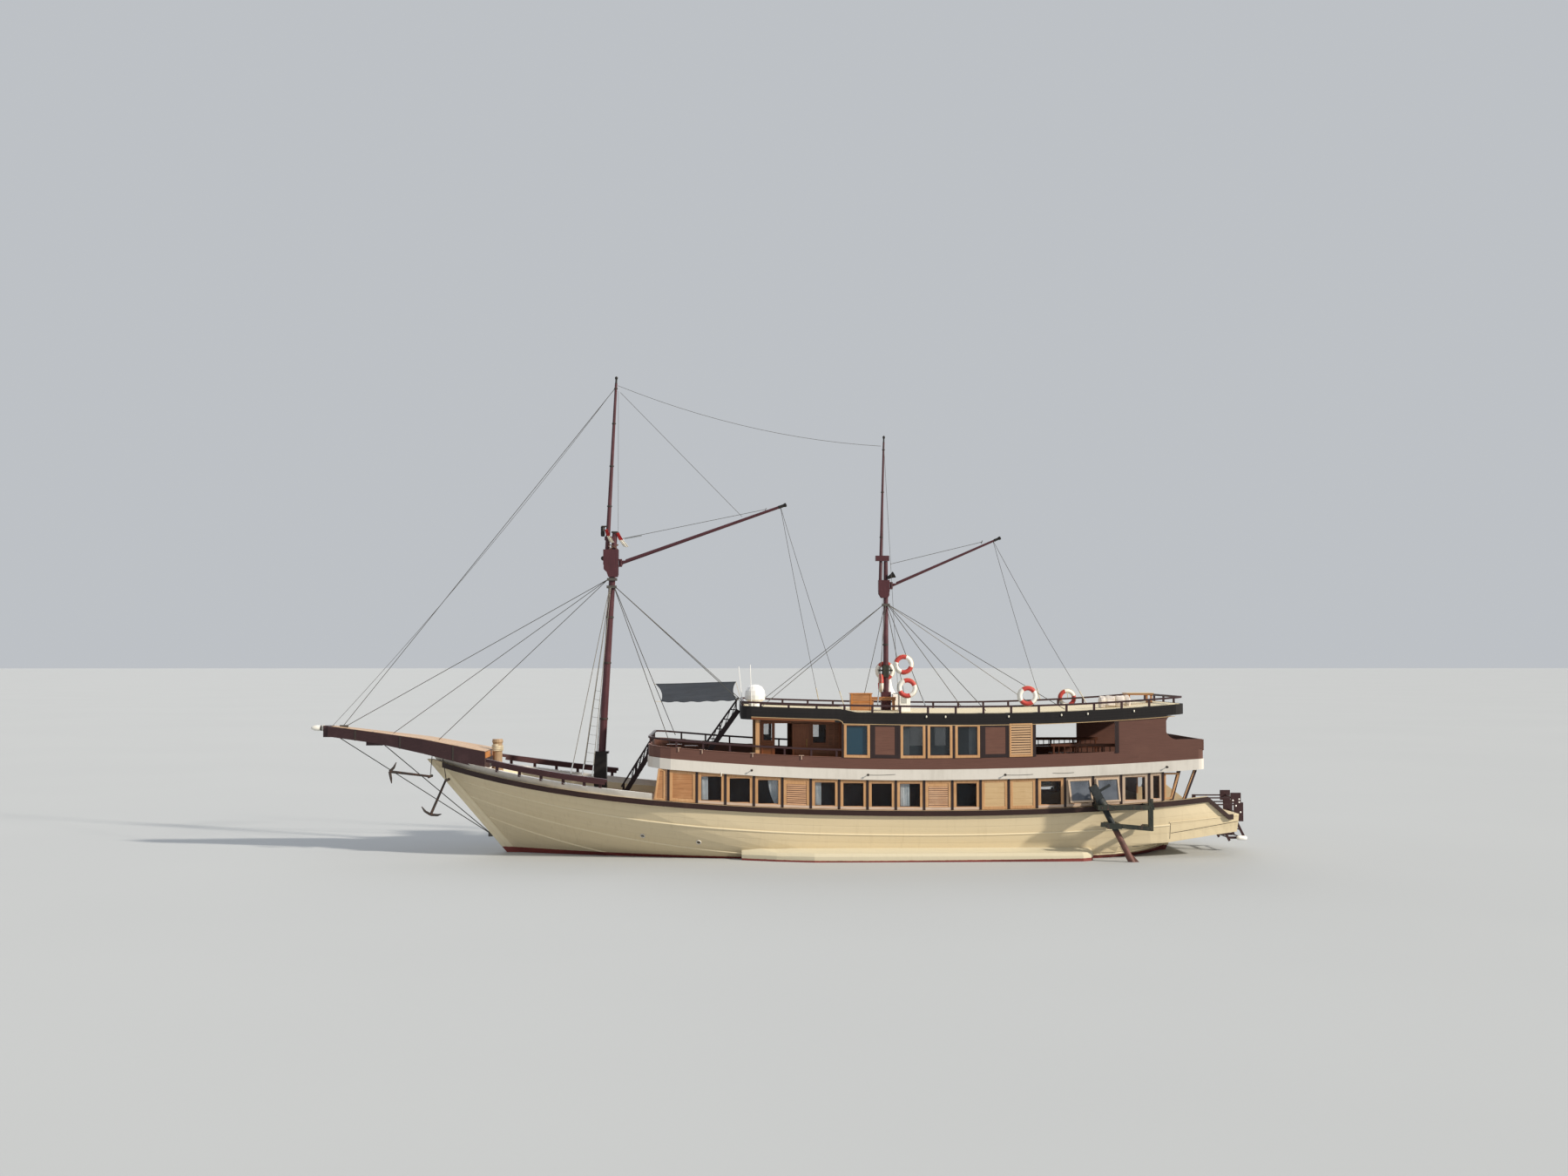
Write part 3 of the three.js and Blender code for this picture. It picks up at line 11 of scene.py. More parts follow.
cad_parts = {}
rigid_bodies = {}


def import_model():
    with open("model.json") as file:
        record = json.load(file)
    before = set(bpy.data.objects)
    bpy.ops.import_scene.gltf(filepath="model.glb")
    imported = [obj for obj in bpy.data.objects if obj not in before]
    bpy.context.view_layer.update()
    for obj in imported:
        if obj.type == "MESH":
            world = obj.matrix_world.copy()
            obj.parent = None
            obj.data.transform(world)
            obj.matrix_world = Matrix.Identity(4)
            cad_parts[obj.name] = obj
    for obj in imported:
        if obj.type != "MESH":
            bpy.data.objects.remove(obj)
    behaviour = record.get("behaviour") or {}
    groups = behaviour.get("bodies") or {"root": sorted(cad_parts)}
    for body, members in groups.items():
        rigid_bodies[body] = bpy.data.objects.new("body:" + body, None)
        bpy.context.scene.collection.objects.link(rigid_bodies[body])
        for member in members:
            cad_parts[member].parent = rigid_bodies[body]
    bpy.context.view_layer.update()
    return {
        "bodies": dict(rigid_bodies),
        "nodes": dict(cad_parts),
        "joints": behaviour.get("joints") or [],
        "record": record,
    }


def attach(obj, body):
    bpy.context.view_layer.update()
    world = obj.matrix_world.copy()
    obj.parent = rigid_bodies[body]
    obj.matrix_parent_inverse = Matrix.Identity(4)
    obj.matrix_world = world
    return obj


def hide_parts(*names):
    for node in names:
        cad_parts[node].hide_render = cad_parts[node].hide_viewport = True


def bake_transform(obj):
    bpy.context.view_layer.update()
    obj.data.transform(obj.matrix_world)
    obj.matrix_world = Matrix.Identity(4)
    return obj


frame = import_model()
nodes = frame["nodes"]
collection = bpy.context.scene.collection
print("frame loaded:", len(nodes), "solids")


# Camera, floor and light

# metres for its place and reach, degrees to the right and upwards, and millimetres for its lens and film
camera = {"place": (4.185, 65.3, 7.5), "turn": 2.0, "tilt": 2.515, "lens": 37.8, "sensor": 36.0,
          "far": 4000.0}


def makeCamera(c):
    data = bpy.data.cameras.new("camera")
    data.lens = c["lens"]
    data.sensor_width = c["sensor"]
    data.clip_end = c["far"]
    turn = math.radians(c["turn"])
    tilt = math.radians(c["tilt"])
    ahead = Vector((-math.sin(turn) * math.cos(tilt), -math.cos(turn) * math.cos(tilt), math.sin(tilt)))
    made = bpy.data.objects.new("camera", data)
    made.location = c["place"]
    made.rotation_euler = ahead.to_track_quat("-Z", "Y").to_euler()
    collection.objects.link(made)
    bpy.context.scene.camera = made


makeCamera(camera)

light = {
    "sky": (0.88, 0.92, 0.97),
    "skyStrength": 0.58,
    # where each sun stands, its strength, its colour and the softness of its shadows in degrees
    "suns": [
        ("key_sun", (-0.82, 0.43, 0.46), 4.6, (1.0, 0.92, 0.79), 3.0),
        ("bow_fill", (0.9, 0.35, 0.5), 0.1, (0.90, 0.94, 1.0), 40.0),
        ("back_fill", (0.2, -1.0, 0.6), 0.6, (0.95, 0.96, 1.0), 40.0),
    ],
}


def makeLights(s):
    world = bpy.data.worlds.new("pale_sky")
    world.use_nodes = True
    background = world.node_tree.nodes["Background"]
    background.inputs["Color"].default_value = (*s["sky"], 1.0)
    background.inputs["Strength"].default_value = s["skyStrength"]
    bpy.context.scene.world = world
    for name, place, strength, colour, softness in s["suns"]:
        data = bpy.data.lights.new(name, "SUN")
        data.energy = strength
        data.color = colour
        data.angle = math.radians(softness)
        made = bpy.data.objects.new(name, data)
        made.rotation_euler = (-Vector(place)).to_track_quat("-Z", "Y").to_euler()
        collection.objects.link(made)


makeLights(light)
bpy.context.scene.view_settings.view_transform = "Standard"
print("camera and lights made")


# Shader maths: Value wraps one socket, Look holds a material and its one call for nodes


def tint(code):  # "c8b79a" as a linear colour
    parts = [int(code[i:i + 2], 16) / 255 for i in (0, 2, 4)]
    return (*[p / 12.92 if p <= 0.04045 else ((p + 0.055) / 1.055) ** 2.4 for p in parts], 1.0)


class Value:
    def __init__(self, look, socket):
        self.look = look
        self.socket = socket

    def maths(self, operation, *terms):
        return self.look.node("ShaderNodeMath", {"operation": operation}, terms)

    def __add__(self, other):
        return self.maths("ADD", self, other)

    def __sub__(self, other):
        return self.maths("SUBTRACT", self, other)

    def __rsub__(self, other):
        return self.maths("SUBTRACT", other, self)

    def __mul__(self, other):
        return self.maths("MULTIPLY", self, other)

    def __truediv__(self, other):
        return self.maths("DIVIDE", self, other)

    def fraction(self):
        return self.maths("FRACT", self)

    def size(self):
        return self.maths("ABSOLUTE", self)

    def sine(self):
        return self.maths("SINE", self)

    def atLeast(self, low):
        return self.maths("MAXIMUM", self, low)

    def between(self, low, high):  # 0 below low, 1 above high, smooth in between
        values = {"Value": self, "From Min": low, "From Max": high}
        return self.look.node("ShaderNodeMapRange", {"interpolation_type": "SMOOTHSTEP"}, values)


class Look:
    def __init__(self, name):
        self.material = bpy.data.materials.new(name)
        self.material.use_nodes = True
        self.tree = self.material.node_tree
        self.shader = self.tree.nodes["Principled BSDF"]
        self.object = self.node("ShaderNodeTexCoord", out="Object")

    def node(self, kind, settings=None, values=(), out=0):
        made = self.tree.nodes.new(kind)
        for key, value in (settings or {}).items():
            setattr(made, key, value)
        for key, value in values.items() if isinstance(values, dict) else enumerate(values):
            if isinstance(value, Value):
                self.tree.links.new(value.socket, made.inputs[key])
            else:
                made.inputs[key].default_value = value
        return Value(self, made.outputs[out])

    def at(self, stretch=(1, 1, 1)):
        return self.node("ShaderNodeMapping", None, {"Vector": self.object, "Scale": stretch})

    def axes(self):
        return [self.node("ShaderNodeSeparateXYZ", None, [self.object], out=n) for n in range(3)]

    def noise(self, where, scale, detail=3.0, rough=0.55):
        values = {"Vector": where, "Scale": scale, "Detail": detail, "Roughness": rough}
        return self.node("ShaderNodeTexNoise", None, values)

    def mix(self, share, a, b):
        return self.node("ShaderNodeMix", {"data_type": "RGBA"}, {0: share, 6: a, 7: b}, out=2)

    def bump(self, height, distance):
        return self.node("ShaderNodeBump", None, {"Height": height, "Distance": distance, "Strength": 1.0})

    def finish(self, **sockets):
        names = {"base": "Base Color", "rough": "Roughness", "metal": "Metallic", "normal": "Normal",
                 "coat": "Coat Weight", "alpha": "Alpha", "gloss": "Specular IOR Level",
                 "sheen": "Sheen Weight"}
        for key, value in sockets.items():
            socket = self.shader.inputs[names[key]]
            if isinstance(value, Value):
                self.tree.links.new(value.socket, socket)
            else:
                socket.default_value = value
        return self


# Finishes

# the sheer line: its lowest height and where that is, and how it rises with the distance from there
sheer = {"low": 1.86, "lowX": -4.0, "foreSquare": 0.0024, "foreCube": 0.00011, "aftSquare": 0.0046}
# the hull's planks are this wide amidships, and narrower by this share of x squared towards the bow
planks = {"wide": 0.31, "narrowing": 0.00201}


def paintLook(name, colour, dirt, rough, streak, patch):
    # brushed paint: broad patches of fading, streaks that run down, and a fine brush relief
    look = Look(name)
    fading = look.noise(look.at((patch, patch, patch)), 0.8, 4.0, 0.6)
    runs = look.noise(look.at((6.0, 6.0, 0.55)), 1.3, 5.0, 0.65)
    shade = (fading * 0.55 + runs * 0.45).between(0.42, 0.72)
    base = look.mix(shade * streak, tint(colour), tint(dirt))
    grain = look.noise(look.at(), 90.0, 2.0)
    return look.finish(base=base, rough=fading * 0.25 + (rough - 0.12), gloss=0.3,
                       normal=look.bump(grain * 0.5 + runs, 0.0006))


def timberLook(name, colour, dark, pale, along, rough=0.45, coat=0.0, boards=0.0, relief=0.001):
    # planed timber: long grain, darker rings, weathered pale patches, and seams where boards have a width
    look = Look(name)
    stretch, across = {"x": ((0.28, 9.0, 9.0), 2), "z": ((9.0, 9.0, 0.28), 0)}[along]
    fibres = look.noise(look.at(stretch), 6.5, 6.0, 0.62)
    rings = look.noise(look.at(tuple(s * 0.35 for s in stretch)), 3.0, 4.0, 0.7)
    worn = look.noise(look.at((0.7, 0.7, 0.7)), 1.6, 5.0, 0.6)
    base = look.mix(fibres.between(0.42, 0.74) * 0.75, tint(colour), tint(dark))
    base = look.mix(rings.between(0.50, 0.75) * 0.25, base, tint(dark))
    base = look.mix(worn.between(0.50, 0.76) * 0.45, base, tint(pale))
    height = fibres * 0.6 + rings * 0.4
    if boards:
        seam = ((look.axes()[across] / boards).fraction() - 0.5).size().between(0.455, 0.49)
        base = look.mix(seam * 0.7, base, tint(dark))
        height = height - seam * 3.0
    return look.finish(base=base, rough=fibres * 0.22 + (rough - 0.1), coat=coat, gloss=0.3,
                       normal=look.bump(height, relief))


def deckLook(name, colour, dark, width, rough=0.75):
    # laid deck: planks along the boat with dark caulked seams, each plank a little different
    look = Look(name)
    plank = look.axes()[1] / width
    seam = (plank.fraction() - 0.5).size().between(0.44, 0.475)
    tone = look.noise(look.at((0.15, 1.0 / width, 0.0)), 1.0, 1.0)
    grain = look.noise(look.at((0.8, 22.0, 4.0)), 4.0, 5.0, 0.6)
    dust = look.noise(look.at(), 0.9, 5.0, 0.6)
    base = look.mix((tone * 0.6 + grain * 0.4).between(0.35, 0.7), tint(colour), tint(dark))
    base = look.mix(dust.between(0.5, 0.8) * 0.35, base, tint("b9b2a3"))
    base = look.mix(seam * 0.8, base, tint("3a322b"))
    return look.finish(base=base, rough=rough, normal=look.bump(grain * 0.4 - seam * 2.0, 0.0015))


def hullLook(name, plain, dark, streaked, faded, deep, seams):
    # planked topsides: seams follow the sheer and draw together towards the bow, over red antifouling
    look = Look(name)
    x, y, z = look.axes()
    fore = (x - sheer["lowX"]).atLeast(0.0)
    aft = (sheer["lowX"] - x).atLeast(0.0)
    top = fore * fore * sheer["foreSquare"] + fore * fore * fore * sheer["foreCube"]
    top = top + aft * aft * sheer["aftSquare"] + sheer["low"]
    bow = x.atLeast(0.0)
    strakes = (top - z) / (1.0 - bow * bow * planks["narrowing"]) / planks["wide"]
    seam = (strakes.fraction() - 0.5).size().between(0.462, 0.492)
    plankTone = look.noise(look.node("ShaderNodeCombineXYZ", None, [x * 0.09, strakes, 0.0]), 1.0, 1.5)
    streaks = look.noise(look.at((4.5, 1.5, 0.35)), 1.6, 6.0, 0.62)
    blotch = look.noise(look.at((0.35, 0.5, 0.7)), 1.0, 5.0, 0.6)
    base = look.mix(plankTone.between(0.35, 0.7) * 0.4, tint(plain), tint(dark))
    base = look.mix(streaks.between(0.5, 0.8) * 0.28, base, tint(streaked))
    base = look.mix(blotch.between(0.5, 0.75) * 0.3, base, tint(faded))
    base = look.mix(seam * seams, base, tint(deep))
    splash = 1.0 - (z + streaks * 0.3).between(0.1, 0.75)
    base = look.mix(splash * 0.3, base, tint(deep))
    bootTop = (x + 1.0) * (x + 1.0) * 0.00082 + 0.05
    wet = (bootTop + streaks * 0.03 - z).between(-0.004, 0.012)
    red = look.mix(blotch.between(0.4, 0.7), tint("7c2f28"), tint("5e2620"))
    base = look.mix(wet, base, red)
    return look.finish(base=base, rough=streaks * 0.25 + 0.42,
                       normal=look.bump(streaks * 0.25 - seam * 0.8, 0.004))


def glassLook(name, colour, film, alpha):
    # glass with a faint uneven film and a slight ripple
    look = Look(name)
    uneven = look.noise(look.at(), 1.4, 3.0)
    base = look.mix(uneven.between(0.35, 0.7), tint(colour), tint(film))
    ripple = look.noise(look.at(), 2.2, 1.0)
    return look.finish(base=base, rough=0.04, alpha=uneven * 0.16 + (alpha - 0.08), gloss=0.6,
                       normal=look.bump(ripple, 0.004))


def metalLook(name, colour, spots, metal, rough, wear):
    # painted or bare metal with spots of rust or tarnish
    look = Look(name)
    rust = look.noise(look.at(), 14.0, 6.0, 0.65)
    fine = look.noise(look.at(), 84.0, 3.0)
    share = rust.between(0.5, 0.68) * wear
    base = look.mix(share, tint(colour), tint(spots))
    return look.finish(base=base, rough=rust * 0.3 + (rough - 0.12), metal=(1.0 - share) * metal,
                       normal=look.bump(rust + fine * 0.4, 0.0012))


def clothLook(name, colour, shadow, weave, sheen):
    # plain weave: two sets of threads across each other, with soft fading and creases
    look = Look(name)
    x, y, z = look.axes()
    warp = (x * weave + z * weave * 0.31).sine()
    weft = (y * weave + z * weave * 0.9).sine()
    fading = look.noise(look.at(), 2.4, 5.0, 0.6)
    crease = look.noise(look.at(), 7.0, 4.0, 0.6)
    base = look.mix(fading.between(0.38, 0.7), tint(colour), tint(shadow))
    return look.finish(base=base, rough=0.85, sheen=sheen, gloss=0.1,
                       normal=look.bump(warp * weft * 0.15 + crease * 6.0, 0.0008))


def rudderLook(name, blade, bladeWorn, head, headWorn):
    # worn red-brown blade, and black-green stock and tiller above the frame
    look = Look(name)
    wear = look.noise(look.at((3.0, 3.0, 1.2)), 1.6, 5.0, 0.62)
    low = look.mix(wear.between(0.4, 0.68), tint(blade), tint(bladeWorn))
    high = look.mix(wear.between(0.4, 0.7), tint(head), tint(headWorn))
    return look.finish(base=look.mix(look.axes()[2].between(1.12, 1.2), low, high), rough=0.6, gloss=0.3,
                       normal=look.bump(wear, 0.002))


def splitGlassLook(name, colour, film, seaReflection, edge):
    # tinted glass, with a painted blue-green reflection of the sea forward of the edge, where the cabin
    # behind is empty
    look = Look(name)
    uneven = look.noise(look.at(), 1.4, 3.0)
    base = look.mix(uneven.between(0.35, 0.7), tint(colour), tint(film))
    ahead = look.axes()[0].between(edge - 0.02, edge)
    return look.finish(base=look.mix(ahead, base, tint(seaReflection)), rough=0.04,
                       alpha=uneven * 0.1 + 0.44 + ahead * 0.34, gloss=0.6)


# each finish under the function that makes it: its material's name, its colours, and then its own numbers, in
# the order of the function's arguments
finishes = {
    timberLook: {
        "strake_timber": ("strake_timber", "301d1a 1f1310 432c27", "x"),
        "stair_timber": ("dark_stair_timber", "33262a 20181a 483a3d", "z"),
        "dark_rail": ("dark_rail_timber", "3b2628 261819 533b3c", "x"),
        "spar_timber": ("spar_timber_oiled", "4e2a2f 2d181c 6b4349", "z", 0.42, 0.1),
        "gaff_timber": ("gaff_timber_oiled", "4b262d 2b161a 683e46", "x", 0.42, 0.1),
        "rail_timber": ("rail_timber_maroon", "45282a 2a1819 5f4142", "x"),
        "varnished_timber": ("honey_timber", "ab7a52 7e522c c0986f", "x", 0.45, 0.12, 0.18),
        "honey_frames": ("louvre_timber", "c79b79 9a7254 dbba9c", "x", 0.45, 0.1),
        "pale_rails": ("pale_rail_timber", "c4ae9c a38b78 d6c5b6", "x", 0.45, 0.1),
        "honey_uprights": ("honey_frame_uprights", "bd9268 946a42 d3b18a", "z", 0.45, 0.12),
        "weathered_panel": ("weathered_panel_timber", "c2a67e ad8d64 cfb997", "x", 0.45, 0.0, 0.21),
        "reddish_panel": ("reddish_bulkhead_timber", "885031 5f3620 a06c45", "z", 0.45, 0.1),
        "wheelhouse_timber": ("wheelhouse_varnish", "7f4c2c 55321d 9a663e", "x", 0.45, 0.1, 0.18),
        "bench_timber": ("bench_timber", "5a3423 3b2116 6f4630", "x"),
        "upper_louvre": ("upper_louvre_timber", "c8a480 9f7d5c d8ba98", "x"),
        "brown_paint": ("reddish_brown_paint", "62433a 533830 6d4d42", "x", 0.45, 0.0, 0.0, 0.0004),
        "orange_timber": ("orange_timber", "b9793f 865026 cf9a63", "x", 0.45, 0.15),
        "dark_upright": ("dark_upright_timber", "2d2121 1c1515 3f3030", "z"),
        "post_timber": ("weathered_post_timber", "a98f72 836b52 c2ab90", "z"),
        "brace_timber": ("brace_timber", "6a4f40 4a362c 846856", "x"),
        "pale_sash": ("pale_sash_timber", "bea892 9c846d d1c0ae", "z", 0.45, 0.1),
        "brown_panel": ("brown_panel_paint", "68473c 553a31 765549", "x", 0.45, 0.0, 0.0, 0.0005),
    },
    paintLook: {
        "white_paint": ("white_paint_brushed", "d0cbc3 9f998e", 0.42, 0.3, 1.2),
        "roof_paint": ("fascia_black_paint", "161314 272223", 0.6, 0.35, 1.2),
        "bulwark_cap_paint": ("bulwark_cap_paint", "7a5548 5a3d33", 0.5, 0.4, 1.2),
        "white_shell": ("moulded_white_shell", "f0efec cfccc5", 0.35, 0.25, 3.0),
        "unit_metal": ("enamelled_unit", "efefec c9c8c2", 0.4, 0.25, 4.0),
        "unit_grille": ("grey_grille", "b9bbb8 8d908e", 0.45, 0.25, 1.2),
        "rudder_frame_paint": ("black_green_paint", "272b27 4b4a3c", 0.5, 0.6, 3.0),
        "ring_red": ("ring_faded_red", "b9443d 8b322c", 0.5, 0.25, 4.0),
        "ring_white": ("ring_white", "e6e3da bdb8ab", 0.5, 0.25, 4.0),
        "black_stripe": ("black_stripe_paint", "1f1c1b 3c3733", 0.4, 0.25, 1.2),
    },
    metalLook: {
        "rusty_strap": ("dark_strap_iron", "3a3532 5c3a26", 0.5, 0.55, 0.5),
        "anchor_iron": ("rusty_iron", "3a3431 6a4029", 0.35, 0.7, 0.6),
        "rigging_wire": ("stay_wire", "5b5853 3d3834", 0.6, 0.5, 0.35),
        "propeller_bronze": ("propeller_bronze", "9a7440 4f5a3e", 0.95, 0.35, 0.35),
        "steel": ("polished_steel", "b9bcbd 8c8e8e", 0.95, 0.3, 0.3),
        "brass": ("brass_fittings", "a98a4e 6f5a34", 0.95, 0.35, 0.35),
    },
    clothLook: {
        "canvas": ("charcoal_canvas", "252b34 1b2027", 420.0, 0.03),
        "cover_canvas": ("grey_cover_canvas", "dad1ca b3aaa3", 420.0, 0.1),
        "curtain_cloth": ("curtain_cloth", "e8eff4 cbd6dd", 420.0, 0.1),
        "pale_rope": ("pale_rope_fibre", "d3c7ad a99c80", 300.0, 0.25),
        "dark_rope": ("tarred_rope_fibre", "3b3129 241d18", 300.0, 0.25),
        "red_cloth": ("flag_red_cloth", "b3221f 8a1a18", 420.0, 0.25),
        "white_cloth": ("flag_white_cloth", "e2ddd2 c3bdb0", 420.0, 0.25),
    },
    deckLook: {
        "pale_planks": ("platform_planks", "c7a684 9f7f60", 0.16, 0.65),
        "cream_deck": ("cream_roof_deck", "e2d4b3 d2c3a1", 0.30, 0.7),
        "foredeck": ("laid_timber_deck", "a98560 7f6142", 0.12),
        "sole": ("cabin_sole_timber", "8d6242 6a452d", 0.14, 0.5),
    },
    glassLook: {
        "window_glass": ("tinted_window_glass", "151b21 1f272e", 0.18),
        "clear_glass": ("clear_window_glass", "24343c 31454e", 0.18),
        "sash_glass": ("open_sash_glass", "50565f 666c76", 0.8),
        "lamp_glass": ("frosted_lamp_glass", "e8e2cf f1eddf", 0.9),
    },
    # its third colour is the painted blue-green reflection of the sea on the foremost pane
    splitGlassLook: {"upper_glass": ("upper_window_glass", "262d33 30383e 1f3f50", -1.27)},
    rudderLook: {"rudder_paint": ("worn_rudder_paint", "6d4a43 4a3530 23282a 34383a")},
    hullLook: {
        "hull_paint": ("hull_paint_planked", "d6c6a5 cdbb97 b3a180 dccbaa 8d7c5e", 0.13),
        # the hull paint made paler: a painted highlight for the lit upper faces of the ridges, shared by the
        # stem plank and the keel
        "ridge_paint": ("ridge_paint", "e6d8b8 ddcead cbbb98 e2d4b4 a39476", 0.0),
        "float_paint": ("float_paint", "d6cdb4 cbc2a8 b5ab91 d0c7ac 857a60", 0.05),
    },
}
looks = {}
for makeLook, members in finishes.items():
    for key, (name, colours, *numbers) in members.items():
        looks[key] = makeLook(name, *colours.split(), *numbers)

# the solids whose look isn't the one named after their own material
lookNodes = {
    "spar_timber": ("fore_mast",),
    "gaff_timber": ("fore_gaff", "main_gaff"),
    "stair_timber": ("roof_stair", "foredeck_stair"),
    "post_timber": ("bow_bollard",),
    "reddish_panel": ("cabin_partitions", "wheelhouse_door_port", "wheelhouse_door_starboard"),
    "honey_frames": ("main_house_wall_port", "main_house_wall_starboard"),
    "honey_uprights": ("veranda_bulkhead",),
    "float_paint": ("sponson_port", "sponson_starboard"),
    "ridge_paint": ("keel_and_stem",),
    "dark_rail": ("bowsprit", "upper_rail", "roof_rail", "stern_stage"),
    "wheelhouse_timber": ("wheelhouse",),
    "upper_glass": ("upper_house_glass_port", "upper_house_glass_starboard"),
    "strake_timber": ("rubbing_strake_port", "rubbing_strake_starboard"),
}
nodeLooks = {name: key for key, names in lookNodes.items() for name in names}
for name, node in nodes.items():
    own = node.material_slots[0].material.name.split(".")[0]
    node.material_slots[0].material = looks[nodeLooks.get(name, own)].material
print("finishes made:", len(looks))


def makeFloor(size, colour, mottled):
    look = Look("pale_floor")
    mottle = look.noise(look.at(), 0.05, 2.0)
    base = look.mix(mottle.between(0.3, 0.7) * 0.2, tint(colour), tint(mottled))
    look.finish(base=base, rough=0.85)
    mesh = bpy.data.meshes.new("floor")
    corners = [(-size, -size, 0.0), (size, -size, 0.0), (size, size, 0.0), (-size, size, 0.0)]
    mesh.from_pydata(corners, [], [(0, 1, 2, 3)])
    mesh.materials.append(look.material)
    made = bpy.data.objects.new("floor", mesh)
    collection.objects.link(made)


makeFloor(1500.0, "b4b7b9", "abaeb1")


# Shapes: each call gives (points, faces), and makePiece joins them into one object


def grid(points, around=False, along=False, caps=False):
    # rows of points joined by four-sided faces; around closes each row, along closes the rows on themselves
    rows, columns = points.shape[:2]
    i = np.arange(rows if along else rows - 1)[:, None]
    j = np.arange(columns if around else columns - 1)[None, :]
    here = i * columns
    above = (i + 1) % rows * columns
    next_ = (j + 1) % columns
    faces = np.stack([here + j, here + next_, above + next_, above + j], -1).reshape(-1, 4).tolist()
    if caps:
        faces.append(list(range(columns))[::-1])
        faces.append([(rows - 1) * columns + k for k in range(columns)])
    return points.reshape(-1, 3), faces


def carried(path, profile, up=(0, 0, 1), closed=False):
    # an outline carried along a path: its first number goes to the path's side, up x along, its second goes
    # up, and both are stretched by 1 / (1 + cos) at each corner, which mitres it
    path = np.asarray(path, float)
    profile = np.asarray(profile, float)
    step = np.roll(path, -1, 0) - path if closed else np.diff(path, axis=0)
    along = step / np.linalg.norm(step, axis=1)[:, None]
    up = np.asarray(up, float)
    rise = up - along * (along @ up)[:, None]
    rise /= np.linalg.norm(rise, axis=1)[:, None]
    side = np.cross(rise, along)
    shifts = []
    for way in (side, rise):
        before = np.roll(way, 1, 0) if closed else np.concatenate([way[:1], way])
        after = way if closed else np.concatenate([way, way[-1:]])
        shifts.append((before + after) / (1.0 + (before * after).sum(1))[:, None])
    points = path[:, None] + profile[None, :, :1] * shifts[0][:, None]
    points = points + profile[None, :, 1:] * shifts[1][:, None]
    return grid(points, around=True, along=closed, caps=not closed)


def slab(width, height, edge=0.0):  # a rectangle's outline, its corners cut by edge
    w, h, e = width / 2, height / 2, edge
    if not e:
        return [(-w, -h), (w, -h), (w, h), (-w, h)]
    return [(e - w, -h), (w - e, -h), (w, e - h), (w, h - e),
            (w - e, h), (e - w, h), (-w, h - e), (-w, e - h)]


def disc(radius, sides=8):
    angle = np.arange(sides) / sides * math.tau
    return np.stack([np.cos(angle), np.sin(angle)], 1) * radius


def bar(a, b, width, height, edge=0.004, up=(0, 0, 1)):
    return carried([a, b], slab(width, height, edge), up)


def tube(path, radius, sides=8, up=(0, 0, 1), closed=False):
    return carried(path, disc(radius, sides), up, closed)


def wire(a, b, radius, sag=0.0, points=2, sides=6):
    # a line from a to b that hangs by sag in the middle, as 4 s (1 - s) along its length
    share = np.linspace(0, 1, points)[:, None]
    path = np.asarray(a, float) * (1 - share) + np.asarray(b, float) * share
    path[:, 2] -= 4 * sag * share[:, 0] * (1 - share[:, 0])
    return tube(path, radius, sides, up=(0.13, 0.97, 0.21))


def crossing(axis, first, second):
    # an axis of length 1 and the two ways across it; first is the way to cross it with, unless they are near
    axis = np.asarray(axis, float) / np.linalg.norm(axis)
    across = np.cross(first if abs(axis @ np.asarray(first)) < 0.9 else second, axis)
    across /= np.linalg.norm(across)
    return axis, across, np.cross(axis, across)


def turned(centre, profile, axis=(0, 0, 1), sides=16):
    # a profile of (radius, height) turned round an axis
    axis, across, other = crossing(axis, (0.0, 1.0, 0.0), (1.0, 0.0, 0.0))
    profile = np.asarray(profile, float)
    turn = disc(1.0, sides)
    ring = turn[:, :1] * across + turn[:, 1:] * other
    points = np.asarray(centre, float) + profile[:, None, :1] * ring[None] + profile[:, None, 1:] * axis
    return grid(points, around=True, caps=True)


def hoop(centre, radius, thickness, axis, steps, sides, start=0.0, end=1.0):
    # a ring of round section, or the part of it from start to end of a turn
    closed = end - start >= 1.0
    axis, across, other = crossing(axis, (0.0, 0.0, 1.0), (1.0, 0.0, 0.0))
    turn = np.linspace(start, end, steps + (0 if closed else 1), endpoint=not closed)[:, None] * math.tau
    path = np.asarray(centre, float) + radius * (np.cos(turn) * across + np.sin(turn) * other)
    return tube(path, thickness, sides, up=axis, closed=closed)


def board(corners, thickness):
    # a flat board that stands out by its thickness from corners that run anticlockwise, seen from its face
    corners = np.asarray(corners, float)
    facing = np.cross(corners[1] - corners[0], corners[2] - corners[1])
    facing /= np.linalg.norm(facing)
    count = len(corners)
    back = list(range(count))
    sides = [[k, (k + 1) % count, count + (k + 1) % count, count + k] for k in back]
    faces = [back[::-1], [count + k for k in back], *sides]
    return np.concatenate([corners, corners + facing * thickness]), faces


def rim(corners, width, proud, edge=0.008, sink=0.004):
    # a mitred frame just inside its corners, which run anticlockwise seen from its face
    corners = np.asarray(corners, float)
    facing = np.cross(corners[1] - corners[0], corners[2] - corners[1])
    outline = [(0.0, -sink), (width, -sink), (width, proud - edge), (width - edge, proud), (edge, proud),
               (0.0, proud - edge)]
    return carried(corners, outline, up=facing, closed=True)


def sideCorners(aft, fwd, low, high, y):
    # four corners of a patch of the port side; low and high are heights, or functions of x that give them
    lows = [low(x) if callable(low) else low for x in (aft, fwd)]
    highs = [high(x) if callable(high) else high for x in (aft, fwd)]
    return np.array([(aft, y, lows[0]), (aft, y, highs[0]), (fwd, y, highs[1]), (fwd, y, lows[1])], float)


def spread(x, rows):
    # a closed band from a row of section points at each x, given as (y, z) pairs
    rows = np.asarray(rows, float)
    stations = np.broadcast_to(np.asarray(x, float)[:, None, None], (*rows.shape[:2], 1))
    return grid(np.concatenate([stations, rows], 2), around=True, caps=True)


